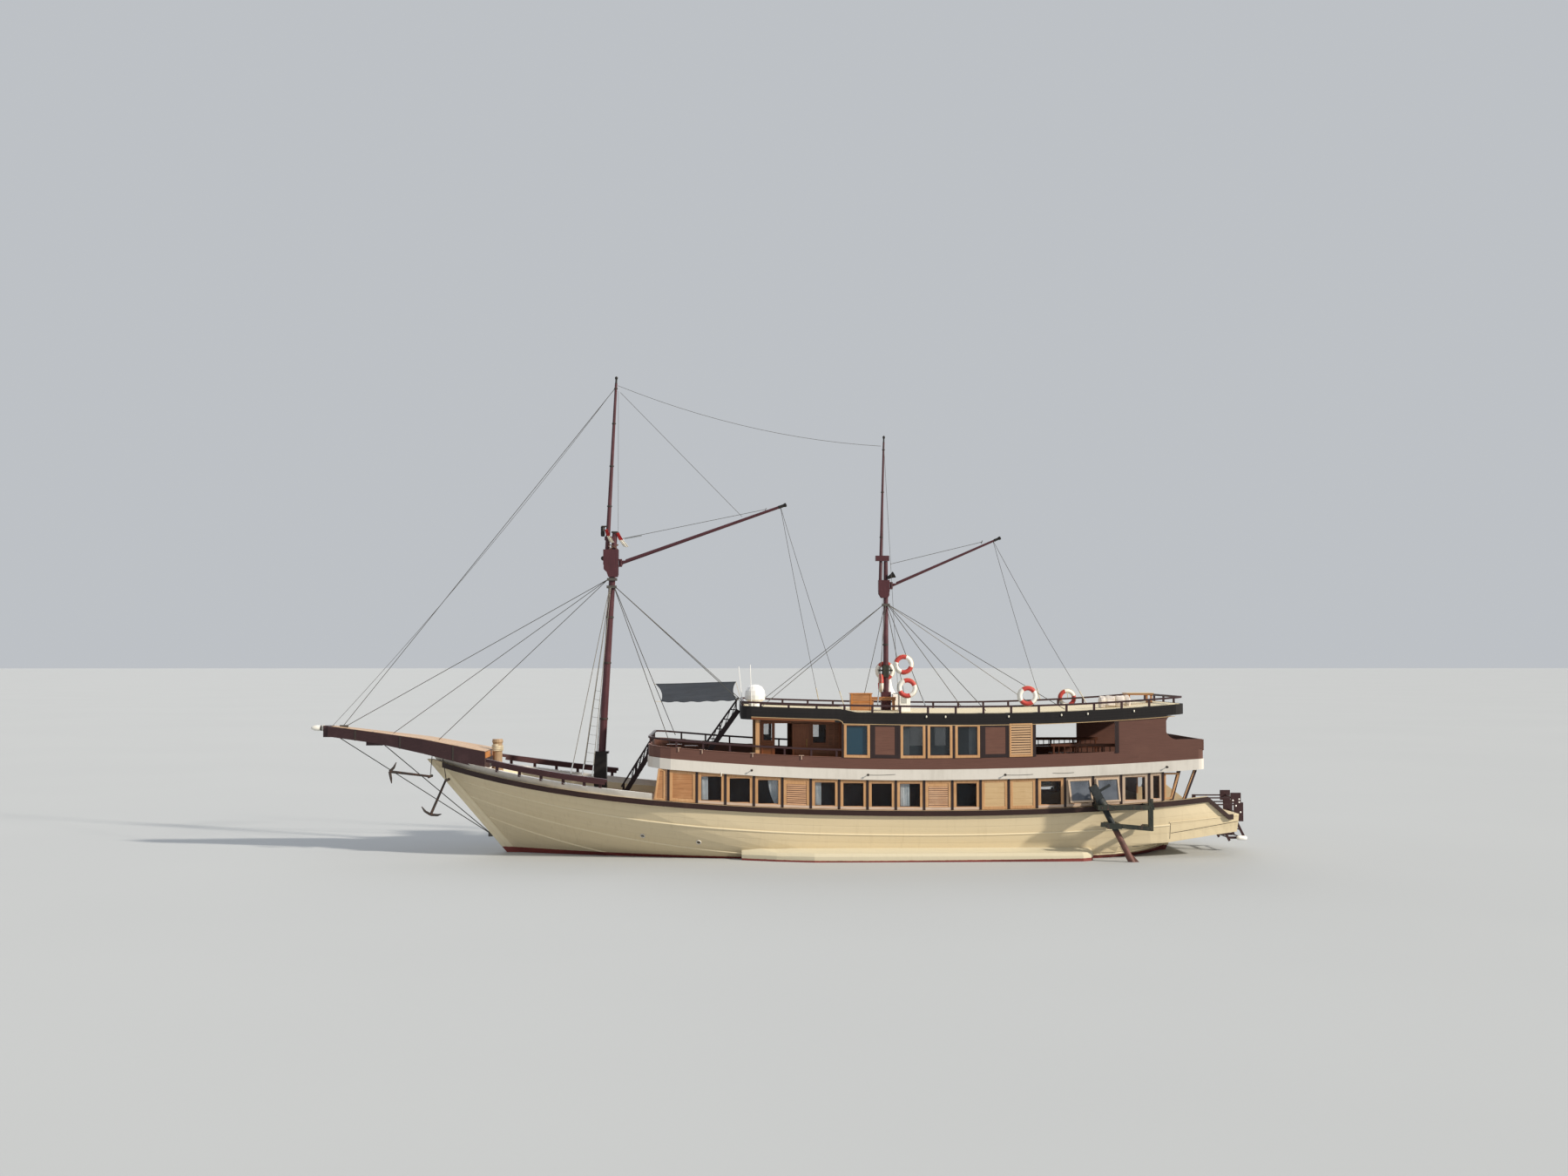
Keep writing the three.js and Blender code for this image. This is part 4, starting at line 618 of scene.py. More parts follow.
def deckSheet(xs, half, height, thick=0.012, inner=None):
    # a laid deck: its half breadth, its height and, where it has one, its inner edge are worked out at each x
    xs = np.asarray(xs, float)
    h = half(xs)
    z = height(xs)
    low = -h if inner is None else inner(xs)
    corners = ((low, z), (h, z), (h, z + thick), (low, z + thick))
    return spread(xs, np.stack([np.stack(pair, 1) for pair in corners], 1))


def mirrored(part):
    points, faces = part
    return points * (1, -1, 1), [face[::-1] for face in faces]


def bothSides(parts):
    return [*parts, *[mirrored(part) for part in parts]]


def makePiece(name, parts, look, body="ship", smooth=38.0):
    points = np.concatenate([p for p, f in parts])
    faces = []
    start = 0
    for p, f in parts:
        faces += [[start + k for k in face] for face in f]
        start += len(p)
    mesh = bpy.data.meshes.new(name)
    mesh.from_pydata(points.tolist(), [], faces)
    mesh.shade_smooth()
    mesh.set_sharp_from_angle(angle=math.radians(smooth))
    mesh.materials.append(looks[look].material)
    piece = bpy.data.objects.new(name, mesh)
    collection.objects.link(piece)
    if body:
        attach(piece, body)
    return piece


def sheerZ(x):
    fore = np.maximum(np.asarray(x, float) - sheer["lowX"], 0.0)
    aft = np.maximum(sheer["lowX"] - np.asarray(x, float), 0.0)
    return (sheer["low"] + sheer["foreSquare"] * fore**2 + sheer["foreCube"] * fore**3
            + sheer["aftSquare"] * aft**2)


# each deck's height where it is lowest, the x of that, and how it rises with the square of the distance
# forward and aft; then its ends, its half breadth and the radii of its corners
upperDeck = {"low": 3.4, "lowX": -3.0, "rise": (0.0049, 0.00334),
             "fwd": 7.16, "aft": -13.9, "half": 3.48, "fwdRadius": 0.9, "aftRadius": 0.25}
roof = {"low": 5.5, "lowX": -5.0, "rise": (0.0025, 0.0055),
        "fwd": 3.65, "aft": -13.15, "half": 3.48, "fwdRadius": 0.4, "aftRadius": 0.35}


def deckHeight(deck):
    fwd, aft = deck["rise"]

    def height(x):
        away = np.asarray(x, float) - deck["lowX"]
        return deck["low"] + np.where(away > 0.0, fwd, aft) * away**2
    return height


upperDeckZ = deckHeight(upperDeck)
roofZ = deckHeight(roof)


def lifted(height, by):  # the line that runs a distance above another, or below it
    return lambda x: height(x) + by


def level(value):  # a height or breadth that is the same all along
    return lambda x: np.full_like(x, value)


def treeOf(name):
    mesh = nodes[name].data
    points = [v.co.copy() for v in mesh.vertices]
    return BVHTree.FromPolygons(points, [list(p.vertices) for p in mesh.polygons])


hullTree = treeOf("hull")
outside = 9.0  # farther to port than any part of the boat


def hitBy(tree, start, way):  # the place and the facing of the first face that a ray meets, or None twice
    return tree.ray_cast(Vector(start), Vector(way))[:2]


def onHull(x, z):  # the hull's outer face on the port side at x and z, or None
    place = hitBy(hullTree, (x, outside, z), (0, -1, 0))[0]
    return None if place is None else place.y


# Hull: ridges, portholes and the planks on the stem

hull = {
    # how far each ridge runs under the sheer, its ends, and how low and how near the middle it may go
    "ridgeDrops": (0.93, 1.87, 2.80), "ridgeX": (-12.6, 14.4), "ridgeLow": -0.25, "ridgeNear": 0.16,
    "ridge": ((-0.03, -0.036), (0.02, -0.024), (0.03, 0.0), (0.022, 0.022), (-0.03, 0.036)),
    "portholes": ((7.34, 0.88), (5.22, 0.66)), "portholeRadius": 0.1,
    "stemHeights": (0.14, 3.30), "stemWide": 0.24, "stemProud": 0.016,
}


def makeHullDetails(h):
    parts = []
    for drop in h["ridgeDrops"]:
        xs = np.linspace(*h["ridgeX"], 110)
        zs = sheerZ(xs) - drop * (1.0 - planks["narrowing"] * np.maximum(xs, 0.0) ** 2)
        path = [(x, onHull(x, z), z) for x, z in zip(xs, zs) if z > h["ridgeLow"]]
        # a ridge stops where the hull's face is missed, and another starts beyond
        runs = [[]]
        for point in path:
            if point[1] is None or (runs[-1] and abs(point[0] - runs[-1][-1][0]) > 0.5):
                runs.append([])
            if point[1] is not None and point[1] > h["ridgeNear"]:
                runs[-1].append(point)
        parts += [carried(run, h["ridge"]) for run in runs if len(run) > 3]
    # the ridges take the paler copy of the hull paint, a painted highlight on their tops
    makePiece("hull_ridges", bothSides(parts), "ridge_paint")
    rings, panes = [], []
    r = h["portholeRadius"]
    ring = [(r, -0.02), (r, 0.018), (r - 0.012, 0.03), (r - 0.032, 0.026), (r - 0.036, 0.0)]
    pane = [(r - 0.034, -0.01), (r - 0.034, 0.012)]
    for x, z in h["portholes"]:
        place, facing = hitBy(hullTree, (x, outside, z), (0, -1, 0))
        rings.append(turned(place, ring, axis=facing, sides=24))
        panes.append(turned(place, pane, axis=facing, sides=24))
    makePiece("porthole_rings", bothSides(rings), "white_paint")
    makePiece("porthole_panes", bothSides(panes), "window_glass")


makeHullDetails(hull)


def makeStemPlank(h):
    # a strip on each side of the stem, which runs aft from the hull's fore edge and stands just proud of it
    rows = []
    for z in np.linspace(*h["stemHeights"], 22):
        edge = hitBy(hullTree, (25.0, 0.02, z), (-1, 0, 0))[0].x - 0.012
        steps = edge - np.linspace(0.0, h["stemWide"], 6)
        skin = np.array([onHull(x, z) for x in steps])
        outer = np.stack([steps, skin + h["stemProud"], np.full(6, z)], 1)
        inner = np.stack([steps, skin - 0.01, np.full(6, z)], 1)
        rows.append(np.concatenate([inner, outer[::-1]]))
    strip = grid(np.array(rows), around=True, caps=True)
    makePiece("stem_plank", bothSides([strip]), "ridge_paint")


makeStemPlank(hull)
print("hull dressed")


# Lower house: eighteen bays a side, each with its frame, upright and pane, panel, louvre or open sash

lowerHouse = {
    "y": 3.36, "start": 6.35, "pitch": 1.066, "aftEnd": -12.32, "upright": 0.085, "frame": 0.112,
    "bays": ("panel", "window", "window", "window", "louvre", "window", "window", "window", "window",
             "louvre", "window", "faded", "faded", "window", "swung", "tilted", "clear", "clear"),
    # what closes a bay without glass, and how far it stands out
    # a louvre's filling is a dark board behind its slats, painted shade of the unlit room behind them
    "fillings": {"panel": ("boards", 0.02), "faded": ("faded", 0.024), "louvre": ("backs", 0.006)},
    # a louvre's slats: how many, how deep, how tall, and their tilt in degrees
    "slats": (10, 0.014, 0.053, 0.0),
    # bay, the side that the curtain is gathered to (1 is forward), the share of the pane that it covers, and
    # how much its hem is drawn in
    "curtains": ((1, 1, 0.34, 0.0), (3, -1, 0.5, 0.62), (5, 1, 0.32, 0.0), (8, 1, 0.5, 0.0)),
    # the plane that they hang in, and how far they stay inside their bay at its ends, foot and head
    "curtainY": 3.235, "curtainMargins": (0.16, 0.13, -0.1),
    "sashAngles": {"swung": 30.0, "tilted": 21.0}, "paleFrames": ("swung", "tilted", "clear"),
    # the panel ahead of the first bay: its aft edge, and its fore edge at the head and at the foot
    "front": (6.47, 6.73, 6.88),
    # the look and the slot of each kind of part
    "parts": {
        "frames": ("honey_uprights", "varnished_timber"), "pale": ("pale_sash", "varnished_timber"),
        "sills": ("pale_rails", "varnished_timber"), "uprights": ("dark_upright", "trim_timber"),
        "boards": ("varnished_timber", "varnished_timber"), "backs": ("dark_upright", "varnished_timber"),
        "faded": ("weathered_panel", "varnished_timber"), "slats": ("honey_frames", "varnished_timber"),
        "sashes": ("pale_sash", "varnished_timber"), "panes": ("sash_glass", "window_glass"),
        "stays": ("steel", "rigging_wire"),
    },
}

lowSill = lifted(sheerZ, 0.02)
lowHead = lifted(upperDeckZ, -0.41)


def slatField(aft, fwd, low, high, y, count, depth, tall, tilt):
    # slats that lie across a patch of the side, one above the other
    angle = math.radians(tilt)
    rise = (0.0, math.sin(angle), math.cos(angle))
    parts = []
    for share in (np.arange(count) + 0.5) / count:
        ends = [(x, y, float(low(x) * (1 - share) + high(x) * share)) for x in (aft, fwd)]
        parts.append(carried(ends, slab(depth, tall), up=rise))
    return parts


def swungSash(corners, angle, width, proud):
    # a frame and its pane, turned outwards about their top edge
    turn = math.radians(angle)
    hinge = corners[1:3].mean(0)
    moved = corners.copy()
    drop = corners[:, 2] - hinge[2]
    moved[:, 1] = corners[:, 1] - drop * math.sin(turn)
    moved[:, 2] = hinge[2] + drop * math.cos(turn)
    inner = moved + (moved.mean(0) - moved) * 0.16
    return rim(moved, width, proud, sink=0.02), board(inner, 0.006)


def makeLowerHouse(h):
    y = h["y"]
    edge = h["upright"] / 2
    room = h["frame"] - 0.006
    low, high = lifted(lowSill, room), lifted(lowHead, -room)
    made = {name: [] for name in h["parts"]}
    for number, kind in enumerate(h["bays"]):
        fwd = h["start"] - h["pitch"] * number
        aft = max(fwd - h["pitch"], h["aftEnd"])
        outer = sideCorners(aft + edge, fwd - edge, lowSill, lowHead, y)
        made["uprights"].append(board(sideCorners(fwd - edge, fwd + edge, lowSill, lowHead, y), 0.052))
        made["pale" if kind in h["paleFrames"] else "frames"].append(rim(outer, h["frame"], 0.036))
        if kind not in ("faded", "panel"):
            sill = sideCorners(aft + edge + 0.006, fwd - edge - 0.006, lifted(lowSill, 0.006),
                               lifted(lowSill, h["frame"] - 0.01), y + 0.03)
            made["sills"].append(board(sill, 0.0075))
        left, right = aft + edge + room, fwd - edge - room
        if kind in h["fillings"]:
            name, thick = h["fillings"][kind]
            made[name].append(board(sideCorners(left, right, low, high, y), thick))
        if kind == "louvre":
            top = lifted(high, -0.13)
            made["frames"].append(board(sideCorners(left, right, top, high, y), 0.022))
            made["slats"] += slatField(left + 0.02, right - 0.02, low, top, y + 0.018, *h["slats"])
        if kind in h["sashAngles"]:
            held = sideCorners(left - 0.05, right + 0.05, lifted(low, -0.04), high, y + 0.045)
            sash, pane = swungSash(held, h["sashAngles"][kind], 0.07, 0.035)
            made["sashes"].append(sash)
            made["panes"].append(pane)
            foot = sash[0].reshape(4, -1, 3)[0, 0]
            for x in (left, right):
                start = (x, y + 0.02, float(low(x)) + 0.05)
                made["stays"].append(wire(start, (x, foot[1], foot[2] + 0.05), 0.008))
    last = h["aftEnd"] - 0.02
    made["uprights"].append(board(sideCorners(last, last + 0.09, lowSill, lowHead, y), 0.052))
    aft, head, foot = h["front"]
    front = np.array([(aft, y, lowSill(aft)), (aft, y, lowHead(aft)), (head, y, lowHead(head)),
                      (foot, y, lowSill(foot))])
    made["frames"].append(rim(front, 0.07, 0.03))
    inset = ((0.05, 0, 0.05), (0.05, 0, -0.05), (-0.06, 0, -0.05), (-0.06, 0, 0.05))
    made["boards"].append(board(front + inset, 0.012))
    for name, (look, slot) in h["parts"].items():
        makePiece("lower_" + name, bothSides(made[name]), look)


makeLowerHouse(lowerHouse)
print("lower house dressed")


# Upper house and wheelhouse sides

upperHouse = {
    "y": 3.45,
    "windows": ((-1.20, -0.22), (-3.29, -2.35), (-4.31, -3.37), (-5.35, -4.41)),
    "panels": ((-2.25, -1.29), (-6.43, -5.45)),
    "louvre": (-7.34, -6.46), "slats": (12, 0.013, 0.062, 0.0),
    "uprights": ((-0.21, -0.14), (-1.29, -1.20), (-2.35, -2.25), (-3.37, -3.29), (-4.41, -4.31),
                 (-5.45, -5.35), (-6.46, -6.40), (-7.47, -7.34), (-10.62, -10.48)),
    # window, the side that the curtain is gathered to, and the share of the pane that it covers
    "curtains": ((1, 1, 0.34), (3, -1, 0.4)), "curtainY": 3.325, "curtainMargins": (0.1, 0.08, -0.08),
}

highSill = lifted(upperDeckZ, 0.42)
highHead = lifted(roofZ, -0.39)


def makeUpperHouse(h):
    y = h["y"]
    whole = (highSill, highHead, y)
    frames = [rim(sideCorners(*pair, *whole), 0.1, 0.03) for pair in h["windows"]]
    frames.append(rim(sideCorners(*h["louvre"], *whole), 0.075, 0.034))
    makePiece("upper_frames", bothSides(frames), "honey_uprights")
    uprights = [board(sideCorners(*pair, *whole), 0.024) for pair in h["uprights"]]
    makePiece("upper_uprights", bothSides(uprights), "dark_upright")
    panels, surrounds = [], []
    for aft, fwd in h["panels"]:
        surrounds.append(rim(sideCorners(aft - 0.02, fwd + 0.02, *whole), 0.13, 0.02))
        panels.append(board(sideCorners(aft + 0.10, fwd - 0.10, lifted(highSill, 0.12),
                                        lifted(highHead, -0.12), y), 0.012))
    makePiece("upper_surrounds", bothSides(surrounds), "dark_upright")
    makePiece("upper_panels", bothSides(panels), "brown_panel")
    aft, fwd = h["louvre"]
    low, high = lifted(highSill, 0.07), lifted(highHead, -0.07)
    slats = slatField(aft + 0.07, fwd - 0.07, low, high, y + 0.02, *h["slats"])
    makePiece("upper_louvres", bothSides(slats), "upper_louvre")
    # a dark board behind the slats: painted shade of the unlit room behind them
    back = board(sideCorners(aft + 0.06, fwd - 0.06, low, high, y), 0.008)
    makePiece("upper_louvre_backs", bothSides([back]), "dark_upright")


makeUpperHouse(upperHouse)


def gatheredCurtain(name, aft, fwd, low, high, y, side, way=1, tied=0.0):
    # a hanging cloth in soft vertical folds: its depth is a sine of its breadth, fuller towards the hem, and
    # a tied one draws in to its own side as the square of the way down
    folds = 7
    across = np.linspace(0, 1, folds * 8 + 1)
    down = np.linspace(0, 1, 14)
    u, v = np.meshgrid(across, down)
    kept = 1.0 - tied * v**2
    x = fwd - (fwd - aft) * (1 - u) * kept if way > 0 else aft + (fwd - aft) * u * kept
    z = high(x) + (low(x) - high(x)) * v
    depth = 0.022 * (0.55 + 0.45 * v) * np.sin(u * folds * math.tau) + 0.006 * np.sin(u * 9.1 + v * 2.0)
    points = np.stack([x, side * (y + depth), z], -1)
    if side < 0:
        points = points[:, ::-1]
    piece = makePiece(name, [grid(points[::-1])], "curtain_cloth", smooth=180.0)
    wide = np.linalg.norm(np.diff(points[7], axis=0), axis=1).sum()
    tall = np.abs(z[0] - z[-1]).mean()


def drawn(aft, fwd, share, way):  # the ends of a curtain that covers a share of a pane from one of its sides
    wide = (fwd - aft) * share
    return (fwd - wide, fwd) if way > 0 else (aft, aft + wide)


def makeCurtains():
    sides = ((1, "port"), (-1, "starboard"))
    h = lowerHouse
    inset, foot, head = h["curtainMargins"]
    for bay, way, share, tied in h["curtains"]:
        fwd = h["start"] - h["pitch"] * bay - inset
        ends = drawn(fwd - h["pitch"] + inset * 2, fwd, share, way)
        for side, word in sides:
            gatheredCurtain("curtain_lower_%d_%s" % (bay, word), *ends, lifted(lowSill, foot),
                            lifted(lowHead, head), h["curtainY"], side, way, tied)
    h = upperHouse
    inset, foot, head = h["curtainMargins"]
    for number, way, share in h["curtains"]:
        aft, fwd = h["windows"][number]
        ends = drawn(aft + inset, fwd - inset, share, way)
        for side, word in sides:
            gatheredCurtain("curtain_upper_%d_%s" % (number, word), *ends, lifted(highSill, foot),
                            lifted(highHead, head), h["curtainY"], side)


makeCurtains()
print("upper house dressed")


# Decks, laid over the solids: (aft end, fore end, sections), and the half breadth or its two edges

decks = {
    "roof": (-13.0, 3.5, 60), "roofHalf": 3.34, "terrace": (2.92, 6.95, 24), "terraceHalf": 3.36,
    "side": (-0.1, 2.92, 14), "sideEdges": (2.53, 3.37), "veranda": (-13.7, -7.46, 24), "verandaHalf": 3.3,
    "foredeck": (6.97, 14.5, 30), "foredeckDrop": 0.25, "aftDeck": (-14.8, -12.33, 12), "aftDeckZ": 1.55,
    "sole": (-12.24, 6.59, 24), "soleZ": 1.0,
}


def makeDecks(d):
    def roofHalf(x):  # narrower at the rounded ends, by the square root of the distance from them
        fwd = np.sqrt(np.clip((roof["fwd"] - x) / 0.5, 0.06, 1.0))
        aft = np.sqrt(np.clip((x - roof["aft"]) / 0.4, 0.1, 1.0))
        return d["roofHalf"] * (0.93 + 0.07 * np.minimum(fwd, aft))

    def terraceHalf(x):  # the terrace narrows ahead of the lower house
        return d["terraceHalf"] - np.clip(x - 6.4, 0, 1) * 0.35

    makePiece("roof_deck", [deckSheet(np.linspace(*d["roof"]), roofHalf, roofZ)], "cream_deck")
    terrace = deckSheet(np.linspace(*d["terrace"]), terraceHalf, upperDeckZ)
    makePiece("terrace_deck", [terrace], "foredeck")
    inner, outer = d["sideEdges"]
    strips = bothSides([deckSheet(np.linspace(*d["side"]), level(outer), upperDeckZ, inner=level(inner))])
    makePiece("side_decks", strips, "foredeck")
    veranda = deckSheet(np.linspace(*d["veranda"]), level(d["verandaHalf"]), upperDeckZ)
    makePiece("veranda_deck", [veranda], "foredeck")


makeDecks(decks)

roofEdge = {
    "y": 3.482, "aft": -12.75, "fwd": 3.25, "skirtDrop": 0.44, "foreDrop": 0.29, "deep": 0.386,
    "skirtAft": -12.42, "skirtY": 3.452, "seamDrops": (0.10, 0.205, 0.31), "seamX": (-12.7, 3.2),
    # where the fascia steps up, and the quarter round under the overhang: its corner, radius and two faces
    "cornerAft": -0.19, "cornerFwd": 0.12, "sweep": (-12.44, 5.14, 0.27), "sweepFaces": (3.392, 3.448),
}


def makeRoofEdge(r):
    # the bead steps up round the side deck's opening, with a skirt behind it aft and a header board forward
    turn = np.linspace(0, 0.5, 7)[:, None] * math.pi
    aft = np.linspace(r["aft"], r["cornerAft"] - 0.02, 50)
    fwd = np.linspace(r["cornerFwd"] + 0.02, r["fwd"], 16)
    low = float(roofZ(r["cornerAft"])) - r["skirtDrop"]
    high = float(roofZ(r["cornerFwd"])) - r["foreDrop"]
    corner = np.concatenate([r["cornerAft"] + (r["cornerFwd"] - r["cornerAft"]) * (1 - np.cos(turn)),
                             low + (high - low) * np.sin(turn)], 1)
    line = np.concatenate([np.column_stack([aft, roofZ(aft) - r["skirtDrop"]]), corner,
                           np.column_stack([fwd, roofZ(fwd) - r["foreDrop"]])])
    path = np.column_stack([line[:, 0], np.full(len(line), r["y"]), line[:, 1]])
    bead = carried(path, slab(0.022, 0.022, 0.006))
    makePiece("fascia_bead", bothSides([bead]), "weathered_panel")
    xs = np.linspace(r["skirtAft"], r["cornerAft"], 40)
    inner, outer = r["skirtY"], r["y"]
    section = ((inner, r["skirtDrop"]), (outer, r["skirtDrop"]), (outer, r["deep"]), (inner, r["deep"]))
    rows = np.stack([np.stack([np.full_like(xs, y), roofZ(xs) - drop], 1) for y, drop in section], 1)
    lines = [spread(xs, rows)]
    seam = np.linspace(*r["seamX"], 60)
    for drop in r["seamDrops"]:
        path = np.stack([seam, np.full_like(seam, r["y"] - 0.001), roofZ(seam) - drop], 1)
        lines.append(carried(path, slab(0.012, 0.010)))
    makePiece("fascia_skirt", bothSides(lines), "roof_paint")
    header = sideCorners(r["cornerFwd"], r["fwd"], lifted(roofZ, 0.004 - r["deep"]),
                         lifted(roofZ, -r["foreDrop"]), roof["half"])
    makePiece("side_deck_header", bothSides([board(header, 0.006)]), "wheelhouse_timber")
    x, z, size = r["sweep"]
    inner, outer = r["sweepFaces"]
    arc = [(x - size * (1 - math.cos(a)), z + size * math.sin(a)) for a in np.linspace(0, 0.5, 9) * math.pi]
    outline = [(x + 0.02, z - 0.02), *arc, (x + 0.02, z + size)]
    corners = np.array([(px, inner, pz) for px, pz in outline[::-1]])
    makePiece("overhang_sweep", bothSides([board(corners, outer - inner)]), "brown_paint")


makeRoofEdge(roofEdge)
print("decks laid")


# Rigging: (from, to, radius, sag) in metres, each shown once or mirrored to the other side

rigging = {
    "middle": (((8.60, 0.05, 18.35), (19.62, 0.1, 4.90), 0.008, 0.35),
               ((8.52, 0.0, 18.42), (-1.97, 0.0, 16.05), 0.008, 0.45),
               ((8.50, 0.0, 18.2), (8.48, 0.03, 12.62), 0.006, 0.0)),
    "paired": (((-2.08, 0.04, 16.1), (-2.3, 3.39, 5.80), 0.007, 0.0),),
}


def makeRigging(r):
    lines = [wire(a, b, size, sag, 14 if sag else 2) for a, b, size, sag in r["middle"]]
    lines += bothSides([wire(a, b, size, sag, 14 if sag else 2) for a, b, size, sag in r["paired"]])
    makePiece("standing_lines", lines, "rigging_wire")


makeRigging(rigging)

shrouds = {
    # the band on each mast, the mast's radius there, and its shrouds' feet; the fore ones stand on the rail
    "fore": ((8.727, 10.40), 0.13, (10.02, 9.58, 9.20)),
    "main": ((-2.147, 9.70), 0.095, ((-1.5, 3.395), (-3.3, 3.395))), "mainFootLift": 0.29,
    "sleeve": 0.024, "sleeveSpan": (0.03, 0.46), "rungs": 9, "rungPitch": 0.36, "rungStart": 0.6,
}
rail = {"x": (8.72, 13.1), "lift": 0.59, "inset": 0.022, "depth": 0.14, "thick": 0.032, "drop": 0.15}
# middle, half width, bottom and top of each step of the foremast's foot
mastCasing = {"steps": ((9.130, 0.2405, 2.30, 3.839), (9.081, 0.2655, 3.842, 3.929))}
foreRailTree = treeOf("fore_rail_port")


def foreCap(x):  # the fore rail cap's inner and outer faces and its top at x
    z = float(sheerZ(x)) + rail["lift"]
    outer = hitBy(foreRailTree, (x, outside, z - 0.03), (0, -1, 0))[0].y
    inner = hitBy(foreRailTree, (x, 0.0, z - 0.03), (0, 1, 0))[0].y
    return inner, outer, z


def makeForeRailPlanks(r):
    xs = np.linspace(*r["x"], 24)
    caps = np.array([foreCap(x) for x in xs])
    plank = slab(r["thick"], r["depth"], 0.006)
    parts = [carried(np.column_stack([xs, y, caps[:, 2] - r["drop"]]), plank)
             for y in (caps[:, 0] + r["inset"], caps[:, 1] - r["inset"])]
    makePiece("fore_rail_planks", bothSides(parts), "rail_timber")


makeForeRailPlanks(rail)


def makeMastCasing(c):
    # thin boards round the foot of the foremast and its capping
    sides = []
    for middle, half, low, high in c["steps"]:
        corners = [(middle + half * p, half * q) for p, q in ((1, -1), (1, 1), (-1, 1), (-1, -1), (1, -1))]
        for a, b in zip(corners, corners[1:]):
            sides.append(board([(*a, low), (*b, low), (*b, high), (*a, high)], 0.005))
    makePiece("mast_casing", sides, "black_stripe")


makeMastCasing(mastCasing)


def makeShroudFittings(s):
    sleeves, rungs, lines = [], [], []
    (x, z), radius, feet = s["fore"]
    for foot in feet:
        inner, outer, top = foreCap(foot)
        lines.append((np.array((foot, (inner + outer) / 2, top)), np.array((x, radius, z))))
    (x, z), radius, feet = s["main"]
    for foot, y in feet:
        lines.append((np.array((foot, y, float(roofZ(foot)) + s["mainFootLift"])), np.array((x, radius, z))))
    for foot, top in lines:
        along = (top - foot) / np.linalg.norm(top - foot)
        sleeves.append(wire(*[foot + along * k for k in s["sleeveSpan"]], s["sleeve"], 0.0, 2, 8))
    (aft, aftTop), (fwd, fwdTop) = lines[2], lines[1]
    for k in range(s["rungs"]):
        share = (s["rungStart"] + k * s["rungPitch"]) / np.linalg.norm(aftTop - aft)
        ends = [foot + (top - foot) * share for foot, top in ((aft, aftTop), (fwd, fwdTop))]
        rungs.append(wire(*ends, 0.005, 0.01, 5, 5))
    makePiece("shroud_turnbuckles", bothSides(sleeves), "steel")
    makePiece("ratlines", bothSides(rungs), "dark_rope")


makeShroudFittings(shrouds)

gaffLines = {
    # gaff, its body, its span wire, its lift from the topmast, the tip where the vangs leave, and their feet
    "fore": ("gaff_fore", ((8.40, 0, 12.30), (2.63, 0, 13.50)), ((8.42, 0, 18.15), (3.57, 0, 13.20)),
             (2.05, 0.0, 13.62), ((-0.22, 3.40, 5.85), (0.35, -3.40, 5.86))),
    "main": ("gaff_main", ((-2.33, 0, 11.33), (-6.00, 0, 12.22)), None,
             (-6.45, 0.0, 12.27), ((-9.40, 3.40, 5.895), (-8.95, -3.40, 5.875))),
}


def makeGaffLines(g):
    for name, (body, span, lift, tip, feet) in g.items():
        lines = [wire(*span, 0.010), hoop(span[1], 0.06, 0.012, (1, 0, 0.4), 16, 6)]
        if lift:
            lines.append(wire(*lift, 0.008))
        makePiece(name + "_gaff_span", lines, "rigging_wire", body)
        for number, foot in enumerate(np.array(feet)):
            away = np.array(tip) - foot
            line = wire(foot, tip, 0.008, 0.12, 26)
            vang = makePiece("%s_gaff_vang_%d" % (name, number), [line], "dark_rope", None)
            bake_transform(vang)
            sleeve = wire(foot, foot + away / np.linalg.norm(away) * 0.55, 0.018, 0.0, 2, 8)
            makePiece("%s_vang_sleeve_%d" % (name, number), [sleeve], "pale_rope")


makeGaffLines(gaffLines)
print("rigging set up")


# Bow and stern: planked platform, its straps and end face, the rope turns on the post, the decks inside the
# hull and the lines on the stern's sides

bow = {
    # the platform's half breadth, top and bottom at four places along it
    "x": (13.45, 15.9, 17.7, 19.7), "half": (1.5, 1.12, 0.72, 0.43), "top": (3.99, 4.455, 4.69, 4.94),
    "bottom": (3.33, 3.905, 4.27, 4.535), "planked": (13.46, 19.56), "endFace": (1.42, 3.74, 3.975),
    "straps": (14.7, 16.8, 18.6), "strapWide": 0.07, "strapThick": 0.012,
    "tip": (20.04, 0.0, 4.85), "tipRing": ((0.098, -0.035), (0.112, -0.035), (0.103, 0.035), (0.09, 0.035)),
    "noseFoot": (20.077, 0.0, 4.85),
    "nose": ((0.1, 0.0), (0.106, 0.015), (0.106, 0.16), (0.096, 0.24), (0.072, 0.31), (0.038, 0.355),
             (0.012, 0.372)),
    # the mooring post and the rope round it
    "post": (13.17, 0.0), "postRadius": 0.185, "ropeTurns": 4.3, "ropeLow": 3.95, "ropeRadius": 0.026,
}


